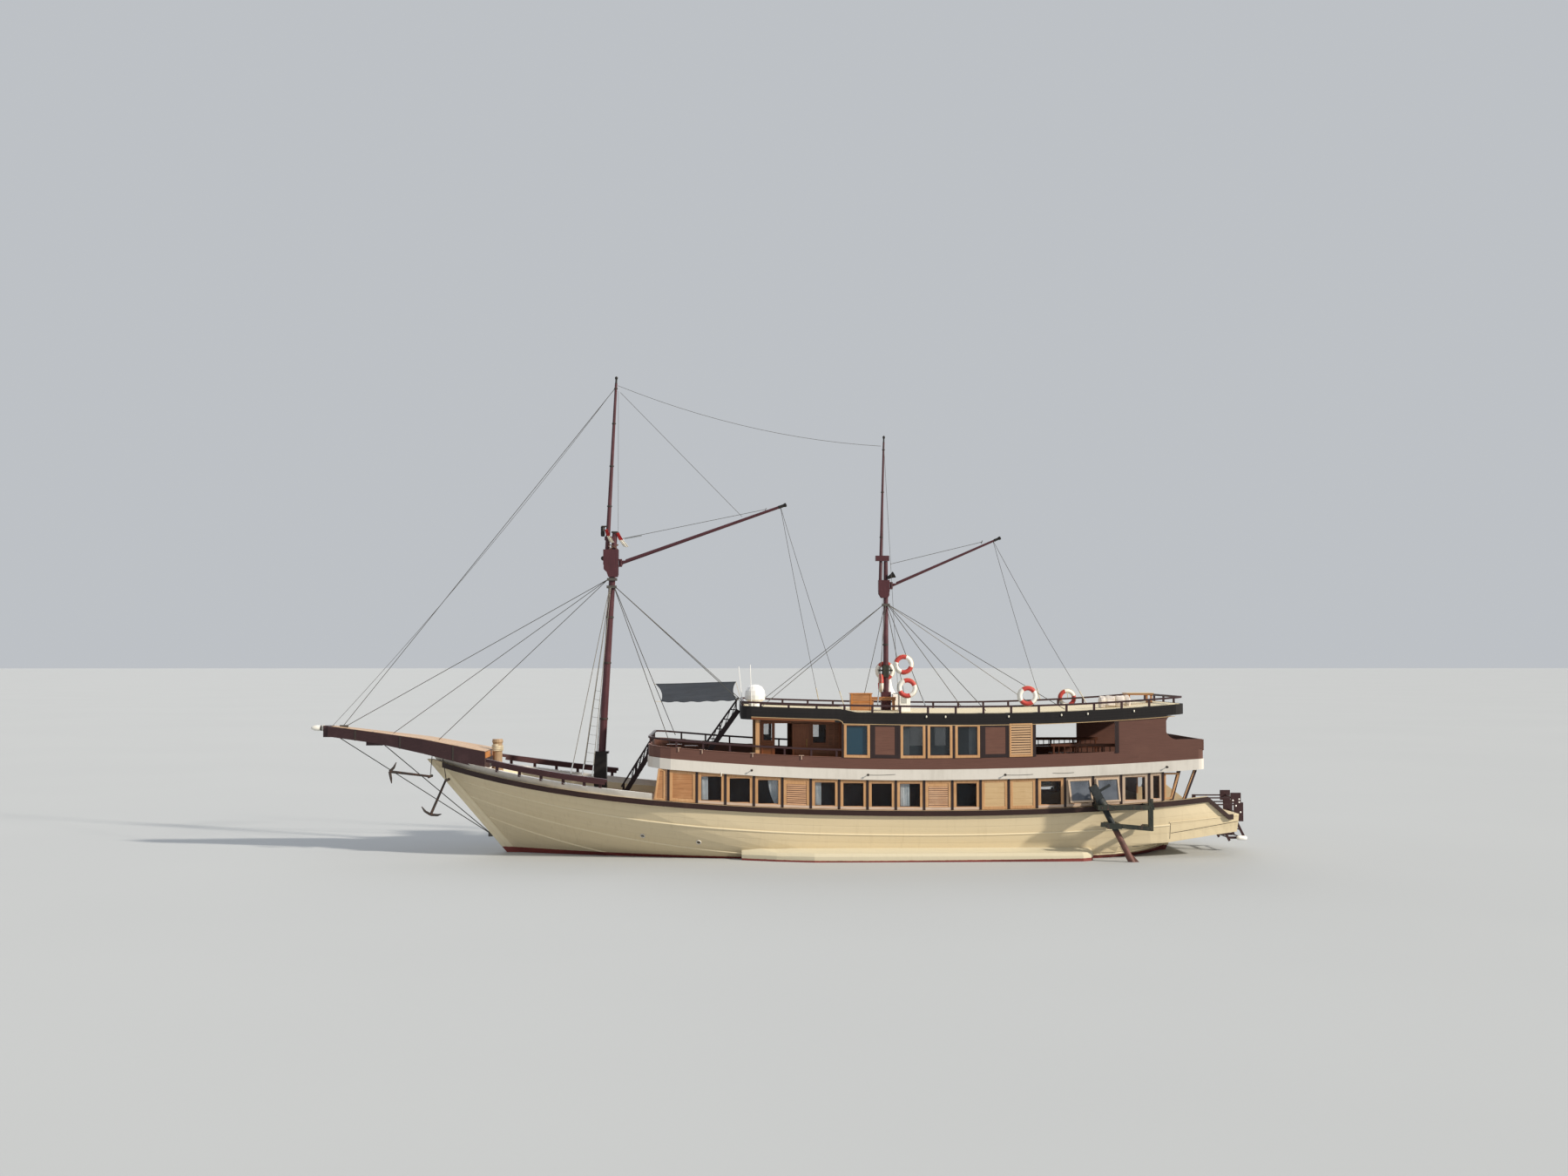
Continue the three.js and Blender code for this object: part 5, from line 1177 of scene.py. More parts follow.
def makeBow(b):
    def at(key, x):
        return np.interp(x, b["x"], b[key])

    xs = np.linspace(*b["planked"], 20)
    planking = deckSheet(xs, lambda x: at("half", x) - 0.05, lambda x: at("top", x) - 0.002, 0.014)
    makePiece("platform_planks", [planking], "pale_planks")
    x = b["x"][0] + 0.004
    half, low, high = b["endFace"]
    face = [(x, -half, low), (x, -half, high), (x, half, high), (x, half, low)]
    makePiece("platform_end_face", [board(face, 0.022)], "orange_timber")
    straps = []
    for x in b["straps"]:
        half, low, high = (float(at(key, x)) for key in ("half", "bottom", "top"))
        path = [(x, half, low), (x, half, high), (x, -half, high), (x, -half, low)]
        straps.append(carried(path, slab(b["strapThick"], b["strapWide"]), up=(1, 0, 0), closed=True))
    straps.append(turned(b["tip"], b["tipRing"], axis=(1, 0, 0), sides=24))
    makePiece("platform_straps", straps, "rusty_strap")
    nose = turned(b["noseFoot"], b["nose"], axis=(1, 0, 0), sides=24)
    makePiece("bowsprit_nose", [nose], "ring_white")
    # the rope winds up round the post, and both its ends are tucked in
    turn = np.linspace(0, b["ropeTurns"] * math.tau, 100)
    tucked = (np.abs(turn / turn[-1] - 0.5) > 0.488) * 0.03
    out = b["postRadius"] + b["ropeRadius"] * 0.75 - tucked
    x, y = b["post"]
    path = np.stack([x + out * np.cos(turn), y + out * np.sin(turn),
                     b["ropeLow"] + turn / math.tau * b["ropeRadius"] * 2.1], 1)
    makePiece("post_lashing", [tube(path, b["ropeRadius"], 8)], "pale_rope")


makeBow(bow)


def inboard(x, z):  # the inner face of the hull's side at x and z
    place = hitBy(hullTree, (x, 0.0, z), (0, 1, 0))[0]
    return 0.1 if place is None else place.y


def laidInside(ends, height):
    xs = np.linspace(*ends)
    half = np.array([inboard(x, z + 0.04) for x, z in zip(xs, height(xs))]) - 0.004
    return deckSheet(xs, lambda x: half, height, 0.01)


def makeInnerDecks(d):
    foredeck = laidInside(d["foredeck"], lifted(sheerZ, -d["foredeckDrop"]))
    makePiece("foredeck_planks", [foredeck], "foredeck")
    aftDeck = laidInside(d["aftDeck"], level(d["aftDeckZ"]))
    makePiece("aft_deck_planks", [aftDeck], "foredeck")
    makePiece("cabin_sole", [laidInside(d["sole"], level(d["soleZ"]))], "sole")


makeInnerDecks(decks)

stern = {
    # each line on the stern's side from (x, z) to (x, z), its number of points; missed is y off the hull
    "seams": (((-12.66, 0.96), (-15.36, 1.35), 12), ((-12.62, 0.60), (-12.62, 1.33), 6),
              ((-11.2, 0.45), (-12.62, 0.42), 6)),
    "knuckle": ((-12.58, 1.37), (-15.36, 1.60), 14), "missed": 2.7,
    "ridge": ((-0.02, -0.02), (0.012, -0.012), (0.014, 0.004), (-0.02, 0.03)),
}


def makeSternLines(s):
    def along(start, end, count):
        return [(x, onHull(x, z) or s["missed"], z) for x, z in np.linspace(start, end, count)]

    seams = []
    for start, end, count in s["seams"]:
        up = (0, 0, 1) if start[0] != end[0] else (1, 0, 0)
        seams.append(carried(along(start, end, count), slab(0.012, 0.016), up))
    makePiece("stern_seams", bothSides(seams), "dark_upright")
    knuckle = carried(along(*s["knuckle"]), s["ridge"])
    makePiece("stern_knuckle", bothSides([knuckle]), "hull_paint")


makeSternLines(stern)
print("bow and stern dressed")


# Wheelhouse: windows, panels, doorway casings, doors and front windows

wheelhouse = {
    "y": 2.45, "front": 2.9, "doorway": (1.68, 2.34), "foot": 3.582, "head": 5.102,
    "smallWindow": (0.38, 0.90), "smallSill": 4.34, "sideWindow": (2.44, 2.78), "sideSill": 4.44,
    "sidePanel": (3.62, 4.36), "uprights": (-0.12, 0.1, 0.32, 1.0), "uprightTop": 5.15,
    "leaf": (1.03, 1.665), "leafFaces": (2.47, 2.51), "leafHeights": (3.597, 4.28, 5.087),
    "handleX": 1.13, "handleZ": (4.20, 4.50), "frontWindows": (-1.56, 0.0, 1.56), "frontHalf": 0.68,
    # bottom, top, width and thickness of the frame round each front window and round the panel under it
    "frontFrames": ((4.34, 5.142, 0.06, 0.02), (3.68, 4.26, 0.07, 0.014)),
}


def makeWheelhouse(w):
    y, foot, head = w["y"], w["foot"], w["head"]
    aft, fwd = w["smallWindow"]
    left, right = w["sideWindow"]
    small, side = w["smallSill"], w["sideSill"]
    trims = [rim(sideCorners(aft - 0.035, fwd + 0.035, small - 0.025, head - 0.005, y), 0.05, 0.018),
             rim(sideCorners(left - 0.05, right + 0.05, side - 0.04, head + 0.05, y), 0.065, 0.016),
             rim(sideCorners(left - 0.06, right + 0.08, *w["sidePanel"], y), 0.07, 0.014)]
    doorAft, doorFwd = w["doorway"]
    trims.append(board(sideCorners(doorFwd + 0.008, doorFwd + 0.06, foot - 0.02, head + 0.08, y), 0.022))
    trims.append(board(sideCorners(doorAft + 0.04, doorFwd + 0.008, head + 0.014, head + 0.08, y), 0.022))
    for x in w["uprights"]:
        strip = sideCorners(x - 0.03, x + 0.03, lifted(upperDeckZ, 0.01), w["uprightTop"], y)
        trims.append(board(strip, 0.008))
    makePiece("wheelhouse_trims", bothSides(trims), "reddish_panel")
    panes = [board(sideCorners(aft - 0.01, fwd + 0.01, small, head - 0.03, y - 0.034), 0.006),
             board(sideCorners(left - 0.01, right + 0.01, side, head + 0.01, y - 0.034), 0.006)]
    makePiece("wheelhouse_side_panes", bothSides(panes), "clear_glass")
    x = w["front"]
    frames = []
    for middle in w["frontWindows"]:
        a, b = middle - w["frontHalf"], middle + w["frontHalf"]
        for low, high, wide, thick in w["frontFrames"]:
            frames.append(rim([(x, a, low), (x, b, low), (x, b, high), (x, a, high)], wide, thick))
        post = [(x - 0.03, middle, z) for z in (w["smallSill"] + 0.04, head)]
        frames.append(bar(*post, 0.03, 0.05, 0.006, up=(1, 0, 0)))
    makePiece("windscreen_frames", frames, "honey_frames")


makeWheelhouse(wheelhouse)


def makeDoorTrims(w):
    # stiles, rails and raised panels on both faces of each leaf, and its upright pull handles
    aft, fwd = w["leaf"]
    low, middle, high = w["leafHeights"]
    back, face = w["leafFaces"]
    parts = []
    for foot, top in ((low, middle), (middle, high)):
        for y, way in ((face, 1), (back, -1)):
            parts.append(rim(sideCorners(aft, fwd, foot, top, y)[::way], 0.085, 0.007, 0.004))
            inner = sideCorners(aft + 0.13, fwd - 0.13, foot + 0.13, top - 0.13, y)[::way]
            parts.append(board(inner, 0.005))
    x = w["handleX"]
    low, high = w["handleZ"]
    grip = [(x, face, low), (x, face + 0.04, low), (x, face + 0.04, high), (x, face, high)]
    pull = tube(grip, 0.011, 8, up=(1, 0, 0))
    for side, flip in (("port", lambda part: part), ("starboard", mirrored)):
        body = "door_" + side
        panels = [flip(part) for part in parts]
        makePiece("door_panels_" + side, panels, "reddish_panel", body)
        makePiece("door_pull_" + side, [flip(pull)], "brass", body)


makeDoorTrims(wheelhouse)
print("wheelhouse dressed")


# Edges of the upper deck and the roof: cap, coaming, lamps, wires and the casings of the posts between

edges = {
    "y": 3.48, "capInset": 0.055, "capAft": -0.12, "coamingAft": -0.7,
    # x and z of each lamp on the band, then the profile that they share
    "bandLamps": ((3.23, 3.39), (-1.13, 3.21), (-6.30, 3.20), (-12.43, 3.48)),
    "bandLamp": ((0.045, -0.005), (0.045, 0.012), (0.018, 0.018), (0.016, 0.09), (0.034, 0.10),
                 (0.034, 0.125), (0.01, 0.13)),
    "wires": ((-1.15, -2.15, 3.205), (-6.33, -7.35, 3.195), (-8.1, -8.9, 3.26)),
    "bulwarkLamps": (5.97, 5.09, 3.20, 1.37),
    "bulwarkLamp": ((0.010, 0.0), (0.015, 0.02), (0.012, 0.12), (0.018, 0.15)),
    "roofLamps": (-3.33, -4.05, -6.44, -8.44, -9.44, -11.2),
    "roofLamp": ((0.012, -0.05), (0.03, -0.03), (0.03, 0.02), (0.014, 0.04)),
    "sideLamp": ((4.37, 3.17), (4.37, 3.32)), "roofPost": (3.02, 3.337), "roofPostTop": 5.31,
}


def deckEdge(deck, inset):
    # the port half of a deck's outline from aft to forward, with its two rounded corners
    side = deck["half"] - inset
    turn = np.array([0, 0.2, 0.45, 0.7, 1.0]) * math.pi / 2
    ends = []
    for end, radius, sign in ((deck["aft"], deck["aftRadius"], 1), (deck["fwd"], deck["fwdRadius"], -1)):
        r = max(0.04, radius - inset)
        ends.append(np.stack([end + sign * (inset + r * (1 - np.cos(turn))), side - r + r * np.sin(turn)], 1))
    middle = np.linspace(ends[0][-1, 0], ends[1][-1, 0], 25)[1:-1]
    return np.concatenate([ends[0], np.stack([middle, np.full_like(middle, side)], 1), ends[1][::-1]])


def roundEdge(deck, inset, height, aftEnd=None):
    # the same outline round both sides at a height, closed, or open from aftEnd round the front
    port = deckEdge(deck, inset)
    if aftEnd is not None:
        port = np.concatenate([[(aftEnd, port[len(port) // 2, 1])], port[port[:, 0] > aftEnd + 0.01]])
    flat = np.concatenate([port, (port * (1, -1))[::-1]])
    return np.column_stack([flat, height(flat[:, 0])])


def makeEdges(e):
    line = roundEdge(upperDeck, e["capInset"], lifted(highSill, 0.004), e["capAft"])
    cap = carried(line, slab(0.085, 0.022, 0.006))
    makePiece("bulwark_cap", [cap], "bulwark_cap_paint")

    def coamingZ(x):  # the coaming sinks into the roof over its last 0.3 m aft
        return roofZ(x) + 0.05 - 0.11 * np.clip((e["coamingAft"] + 0.3 - x) / 0.3, 0, 1)

    coaming = carried(roundEdge(roof, 0.03, coamingZ, e["coamingAft"]), slab(0.05, 0.13, 0.01))
    makePiece("roof_coaming", [coaming], "roof_paint")
    y = e["y"]
    lamps = [turned((x, y, z), e["bandLamp"], axis=(0, 1, 0), sides=12) for x, z in e["bandLamps"]]
    wires = [wire((aft, y + 0.007, z), (fwd, y + 0.007, z + 0.02), 0.007, 0.015, 6, 5)
             for aft, fwd, z in e["wires"]]
    brackets = []
    for x in e["bulwarkLamps"]:
        top = float(highSill(x)) + 0.015
        ends = [(x + away, y - 0.055, top + 0.008) for away in (-0.1, 0.1)]
        brackets.append(bar(*ends, 0.05, 0.016))
        brackets.append(turned((x, y + 0.002, top - 0.14), e["bulwarkLamp"], sides=8))
    glasses = [turned((x, y + 0.015, float(roofZ(x)) - 0.12), e["roofLamp"], sides=10)
               for x in e["roofLamps"]]
    ends = [(x, y + 0.002, z) for x, z in e["sideLamp"]]
    glasses.append(bar(*ends, 0.03, 0.03, 0.006, up=(0, 1, 0)))
    makePiece("band_lamps", bothSides(lamps), "anchor_iron")
    makePiece("edge_lamps", bothSides(glasses), "lamp_glass")
    makePiece("bulwark_brackets", bothSides(brackets), "pale_rails")
    makePiece("band_wires", bothSides(wires), "rigging_wire")
    x, y = e["roofPost"]
    ends = [(x, y, z) for z in (float(upperDeckZ(x)) - 0.01, e["roofPostTop"])]
    post = bar(*ends, 0.15, 0.072, 0.008, up=(0, 1, 0))
    makePiece("roof_post_casings", bothSides([post]), "honey_uprights")


makeEdges(edges)

aftPosts = {
    # each raked post's foot and head, and the heights between which it is cased
    "y": 3.11, "posts": (((-12.64, 2.0), (-13.0, 3.38)), ((-13.09, 2.0), (-13.62, 3.38))),
    "cased": (2.18, 3.34),
    # the strip on the aft post's face and the slanted frame ahead of the posts, each as its corners and its y
    "strip": ((-13.16, 2.25), (-13.58, 3.33), (-13.54, 3.33), (-13.12, 2.25)), "stripY": 3.172,
    "frame": ((-12.66, 2.26), (-12.97, 3.25), (-12.37, 3.25), (-12.37, 2.24)), "frameY": 3.27,
}


def makeAftPosts(a):
    casings = []
    for (footX, footZ), (headX, headZ) in a["posts"]:
        ends = [(float(np.interp(z, (footZ, headZ), (footX, headX))), a["y"], z) for z in a["cased"]]
        casings.append(bar(*ends, 0.122, 0.122, 0.01, up=(0, 1, 0)))
    makePiece("raked_post_casings", bothSides(casings), "stair_timber")
    frame = rim([(x, a["frameY"], z) for x, z in a["frame"]], 0.07, 0.04, sink=0.04)
    strip = board([(x, a["stripY"], z) for x, z in a["strip"]], 0.006)
    makePiece("slanted_aft_frame", bothSides([frame, strip]), "honey_uprights")


makeAftPosts(aftPosts)


# Stairs: crossed battens between each stringer and its handrail

stairs = {
    "handrail": 0.48, "gaps": (0.07, 0.02), "crosses": 5, "batten": 0.022,
    # name, (x, z) of the foot and the head, middle, half breadth, and the share where the lattice starts
    "flights": (("roof", (5.15, 3.56), (3.72, 5.56), 0.9, 0.33, 0.0),
                ("foredeck", (8.35, 2.0), (7.23, 3.8), -0.9, 0.33, 0.28)),
}


def makeStairs(s):
    below, above = s["gaps"]
    for name, foot, head, middle, half, start in s["flights"]:
        shares = np.linspace(start + 0.03, 0.97, s["crosses"] + 1)
        xs, zs = (f + (h - f) * shares for f, h in zip(foot, head))
        parts = []
        for y in (middle - half, middle + half):
            low = np.column_stack([xs, np.full_like(xs, y), zs + below])
            high = low + (0, 0, s["handrail"] - above - below)
            for k in range(s["crosses"]):
                for a, b in ((low[k], high[k + 1]), (low[k + 1], high[k])):
                    parts.append(bar(a, b, s["batten"], s["batten"], 0.003))
        makePiece(name + "_stair_lattice", parts, "stair_timber")


makeStairs(stairs)
print("edges and stairs dressed")


# Veranda and terrace furniture

furniture = {
    "benchY": 2.35, "benchX": (-11.2, -8.2), "benchMiddle": -9.5, "seat": (0.40, 0.55, 0.06), "backY": 0.30,
    "backRail": (0.72, 0.06, 0.12), "leg": 0.07,
    # each terrace stool's ends, its middle and how high its top is
    "stools": ((6.48, 5.90), (5.80, 5.29)), "stoolY": 1.3, "stoolHigh": 0.42,
}


def makeFurniture(f):
    def post(x, y, low, high, thick, wide, edge):
        return bar((x, y, low), (x, y, high), thick, wide, edge, up=(0, 1, 0))

    aft, fwd = f["benchX"]
    y = f["benchY"]
    back = y + f["backY"]
    leg = f["leg"]
    deck = float(upperDeckZ(f["benchMiddle"]))
    lift, *seat = f["seat"]
    parts = [bar((aft, y, deck + lift), (fwd, y, deck + lift), *seat, 0.012)]
    lift, *rail = f["backRail"]
    parts.append(bar((aft, back, deck + lift), (fwd, back, deck + lift), *rail, 0.015))
    for x in np.linspace(aft + 0.1, fwd - 0.1, 4):
        parts.append(post(x, back, deck, deck + 0.7, leg, leg, 0.008))
        parts.append(post(x, y - 0.2, deck, deck + 0.38, leg, leg, 0.008))
    for x in np.linspace(aft + 0.3, fwd - 0.3, 12):
        parts.append(post(x, back, deck + 0.43, deck + 0.67, 0.03, 0.05, 0.004))
    makePiece("veranda_benches", bothSides(parts), "bench_timber")
    stools = []
    for fwd, aft in f["stools"]:
        z = float(upperDeckZ((fwd + aft) / 2))
        y, top = f["stoolY"], z + f["stoolHigh"]
        stools.append(bar((aft, y, top), (fwd, y, top), 0.5, 0.05, 0.012))
        for x in (aft + 0.06, fwd - 0.06):
            for legY in (y - 0.2, y + 0.2):
                stools.append(post(x, legY, z, z + 0.4, 0.05, 0.05, 0.006))
    makePiece("terrace_stools", stools, "bench_timber")


makeFurniture(furniture)
print("furniture made")


# Roof gear: life rings, antennas, mast-foot fittings, box and unit details, table top

roofGear = {
    "ringRadius": 0.29, "ringThick": 0.083,
    # centre, axis, and the turn at which the red arcs start
    "rings": (((-2.55, 2.80, 7.34), (0, 1, 0), 0.20), ((-2.65, 3.10, 6.45), (0, 1, 0), 0.06),
              ((-2.13, -0.20, 7.08), (0, 1, 0), 0.14), ((-1.94, 0.0, 6.60), (1, 0, 0), 0.0),
              ((-7.15, 3.53, 6.16), (0, 1, 0), 0.10), ((-10.12, -3.575, 5.92), (0, 1, 0), 0.30)),
    # the short lines that hold the rings to what is behind them
    "ties": (((-2.264, 2.77, 7.50), (-2.263, 2.86, 7.52)), ((-2.31, 3.07, 6.60), (-2.283, 3.14, 6.62)),
             ((-7.15, 3.48, 5.83), (-7.15, 3.42, 5.78)), ((-10.12, -3.52, 6.25), (-10.12, -3.42, 5.90)),
             ((-2.13, -0.14, 7.39), (-2.14, -0.02, 7.43)), ((-1.94, 0.0, 6.92), (-2.10, 0.0, 6.95))),
    "antennas": (((3.55, 1.05, 5.68), (3.71, 1.05, 7.26)), ((3.22, 2.35, 5.67), (3.28, 2.35, 7.33))),
    "antennaRadius": 0.014,
    "antennaFoot": ((0.05, -0.02), (0.05, 0.03), (0.03, 0.04), (0.024, 0.22), (0.014, 0.24)),
    # round the mainmast: a square casing, a cross bar and a band, and the dark plate to port of it
    "casing": ((-2.13, 0, 6.84), (-2.135, 0, 7.31), 0.27, 0.27, 0.03),
    "crossBar": ((-1.84, 0.0, 7.10), (-2.42, 0.0, 7.10)), "crossBarRadius": 0.032,
    "band": (-2.13, 0, 8.12), "bandProfile": ((0.10, -0.03), (0.118, -0.02), (0.118, 0.02), (0.10, 0.03)),
    "plate": ((-2.78, 1.10, 6.20), (-2.30, 1.10, 6.20), (-2.30, 1.70, 6.20), (-2.78, 1.70, 6.20)),
    "plateThick": 0.025,
    "horn": (-2.32, -0.34, 6.16),
    "hornProfile": ((0.02, 0.3), (0.14, 0.14), (0.23, 0.0), (0.26, 0.0), (0.25, 0.03), (0.16, 0.16),
                    (0.10, 0.32), (0.08, 0.45), (0.06, 0.60), (0.03, 0.62)),
    # the grille on the roof unit: aft and fore edge, bottom and top, and y
    "grille": (-2.76, -2.54, 5.84, 6.12, 1.951), "slats": (11, 0.012, 0.008, 20.0),
    # each flat piece, as the casing: from, to, breadth, thickness and cut corner
    "locker": ((-2.80, 0.40, 5.86), (-2.37, 0.40, 5.86), 0.42, 0.63, 0.02),
    "lid": ((-1.50, 0.95, 6.205), (-0.62, 0.95, 6.205), 0.66, 0.035, 0.01),
    "flap": ((-2.44, 0.875, 6.055), (-1.50, 0.875, 6.055), 0.50, 0.02, 0.006),
    "tableTop": ((-12.64, 0.5, 6.20), (-11.56, 0.5, 6.20), 0.86, 0.03, 0.012),
    # battens on the box's port side: aft and fore edge, bottom and top, thickness; and the side's y
    "battens": ((-1.46, -1.40, 5.56, 6.185, 0.012), (-0.72, -0.66, 5.56, 6.185, 0.012),
                (-1.46, -0.66, 5.86, 5.90, 0.008)), "boxY": 1.25,
}


def makeRings(r):
    red, white = [], []
    lines = [wire(a, b, 0.014, 0.0, 2, 6) for a, b in r["ties"]]
    thick = r["ringThick"]
    rope = r["ringRadius"] + thick
    for centre, axis, start in r["rings"]:
        for quarter in range(4):
            begin = start + quarter * 0.25
            arcs, proud = (white, 0.0) if quarter % 2 else (red, 0.002)
            arcs.append(hoop(centre, r["ringRadius"], thick + proud, axis, 10, 12, begin, begin + 0.25))
            lines.append(hoop(centre, rope + 0.012, 0.008, axis, 8, 5, begin + 0.02, begin + 0.23))
            lines.append(hoop(centre, rope + 0.004, 0.014, axis, 2, 5, begin - 0.012, begin + 0.012))
    makePiece("ring_red_arcs", red, "ring_red")
    makePiece("ring_white_arcs", white, "ring_white")
    makePiece("ring_lines", lines, "pale_rope")


makeRings(roofGear)


def makeRoofGear(r):
    whips = [tube(ends, r["antennaRadius"], 8, up=(0, 1, 0)) for ends in r["antennas"]]
    whips += [turned(foot, r["antennaFoot"], sides=12) for foot, tip in r["antennas"]]
    makePiece("antennas", whips, "white_shell")
    dark = [bar(*r["casing"], up=(0, 1, 0)), tube(r["crossBar"], r["crossBarRadius"], 10, up=(0, 1, 0)),
            turned(r["band"], r["bandProfile"], sides=16), board(r["plate"], r["plateThick"])]
    makePiece("mast_foot_fittings", dark, "rudder_frame_paint")
    makePiece("white_horn", [turned(r["horn"], r["hornProfile"], sides=24)], "white_shell")
    aft, fwd, low, high, y = r["grille"]
    grille = [rim(sideCorners(aft, fwd, low, high, y), 0.02, 0.01)]
    grille += slatField(aft + 0.01, fwd - 0.01, level(low + 0.02), level(high - 0.02), y + 0.003, *r["slats"])
    makePiece("unit_grille_slats", grille, "unit_grille")
    makePiece("white_locker", [bar(*r["locker"])], "unit_metal")
    lid = [bar(*r["lid"]), bar(*r["flap"])]
    lid += [board(sideCorners(*place, r["boxY"]), thick) for *place, thick in r["battens"]]
    makePiece("box_lid_and_battens", lid, "orange_timber")
    makePiece("table_top", [bar(*r["tableTop"])], "weathered_panel")


makeRoofGear(roofGear)
print("roof gear made")


# Mastheads, blocks and braces

mastheads = {
    # each brace between mast and topmast from (x, z) to (x, z), and its y on both sides
    "braces": (((8.86, 12.02), (8.50, 11.62)), ((8.84, 12.10), (8.50, 11.90)),
               ((8.48, 12.08), (8.86, 11.86))), "braceY": 0.13,
    # outline of the cheek plate under each masthead block, with the plate's inner face and thickness
    "cheeks": ((((9.04, 11.30), (9.04, 11.10), (8.92, 10.98), (8.86, 10.80), (8.50, 10.80), (8.47, 10.90),
                 (8.47, 11.30)), 0.155, 0.034),
               (((-1.86, 10.25), (-1.86, 10.14), (-1.96, 9.98), (-2.22, 9.98), (-2.28, 10.08),
                 (-2.28, 10.25)), 0.122, 0.026)),
    # each dark spar end: body, tip, the way that it points, the spar's radius there and its length
    "tips": (("ship", (8.578, 0, 18.785), (-0.04, 0, 1.0), 0.034, 0.30),
             ("ship", (-2.088, 0, 16.465), (-0.03, 0, 1.0), 0.026, 0.30),
             ("gaff_fore", (1.80, 0, 13.695), (-0.942, 0, 0.336), 0.058, 0.34),
             ("gaff_main", (-6.765, 0, 12.40), (-0.9155, 0, 0.4022), 0.047, 0.30)),
    # iron bands: (x, z) of the spar's middle line at both ends, half a band's height, how far it stands out,
    # its sides, and each band's height and radius
    "bands": (((8.91, 11.88), (8.59, 18.5), 0.03, 0.012, 14,
               ((13.6, 0.088), (15.2, 0.079), (16.9, 0.069), (18.3, 0.06))),
              ((9.13, 3.0), (8.61, 12.56), 0.04, 0.014, 18, ((5.2, 0.151), (7.4, 0.145), (9.2, 0.139))),
              ((-1.93, 10.69), (-2.08, 16.2), 0.025, 0.01, 12,
               ((12.4, 0.062), (14.2, 0.055), (15.9, 0.047)))),
    # the iron cap of the foremast and the bracket for its lamp: from, to, breadth, thickness and cut corner
    "cap": ((8.61, 0, 12.545), (8.61, 0, 12.60), 0.27, 0.27, 0.05),
    "arm": ((8.86, 0, 12.80), (9.14, 0, 12.80), 0.16, 0.05, 0.01),
    "armPost": ((9.09, 0, 12.44), (9.09, 0, 12.80), 0.035, 0.16, 0.008),
    "block": (9.07, 11.53), "blockY": 0.1, "blockPin": 8.86,
    "blockProfile": ((0.05, -0.03), (0.085, -0.03), (0.085, 0.03), (0.05, 0.03)),
    "lamp": (9.09, 0, 12.82),
    "lampProfile": ((0.05, -0.42), (0.075, -0.40), (0.085, -0.30), (0.075, -0.12), (0.06, -0.05),
                    (0.03, -0.04)),
    "horn": (-2.33, 0.16, 10.83), "hornWay": (-0.8, 0.0, 0.45),
    "hornProfile": ((0.03, -0.16), (0.06, -0.12), (0.09, 0.04), (0.14, 0.16), (0.11, 0.16), (0.03, 0.04)),
    "spanFitting": ((8.23, 0, 12.31), (7.55, 0, 12.44)), "spanFittingRadius": 0.022,
}


def makeMastheads(m):
    for number, (body, tip, way, radius, long) in enumerate(m["tips"]):
        swell = [(0.006, -long), (0.012, -long + 0.03), (0.006, -long + 0.06), (0.004, -0.12), (0.02, -0.10),
                 (0.026, -0.06), (0.02, -0.02)]
        profile = [*[(radius + out, along) for out, along in swell], (0.006, 0.0)]
        end = turned(tip, profile, axis=way, sides=14)
        makePiece("spar_end_%d" % number, [end], "black_stripe", body)
    for number, (outline, inner, thick) in enumerate(m["cheeks"], 1):
        plate = board([(x, inner, z) for x, z in outline], thick)
        makePiece("masthead_cheek_%d" % number, bothSides([plate]), "spar_timber")
    timber = [bar((ax, y, az), (bx, y, bz), 0.03, 0.04, 0.006, up=(0, 1, 0))
              for y in (-m["braceY"], m["braceY"]) for (ax, az), (bx, bz) in m["braces"]]
    makePiece("masthead_braces", timber, "brace_timber")
    x, z = m["block"]
    iron = [bar(*m["cap"], up=(0, 1, 0)), bar(*m["arm"]), bar(*m["armPost"], up=(1, 0, 0)),
            bar((m["blockPin"], 0, z + 0.02), (x + 0.03, 0, z + 0.02), 0.20, 0.05, 0.01)]
    for y in (-m["blockY"], m["blockY"]):
        iron.append(turned((x, y, z), m["blockProfile"], axis=(0, 1, 0)))
    for (footX, footZ), (headX, headZ), half, proud, sides, places in m["bands"]:
        for z, radius in places:
            x = float(np.interp(z, (footZ, headZ), (footX, headX)))
            far = radius + proud
            band = [(radius, -half), (far, 0.01 - half), (far, half - 0.01), (radius, half)]
            iron.append(turned((x, 0, z), band, sides=sides))
    makePiece("masthead_irons", iron, "anchor_iron")
    lamps = [turned(m["lamp"], m["lampProfile"]), turned(m["horn"], m["hornProfile"], axis=m["hornWay"])]
    makePiece("masthead_lamps", lamps, "black_stripe")
    fitting = tube(m["spanFitting"], m["spanFittingRadius"], 8, up=(0, 1, 0))
    makePiece("span_turnbuckle", [fitting], "steel", "gaff_fore")


makeMastheads(mastheads)


# Stern: rudder irons and bolts, stage bolts and the fender

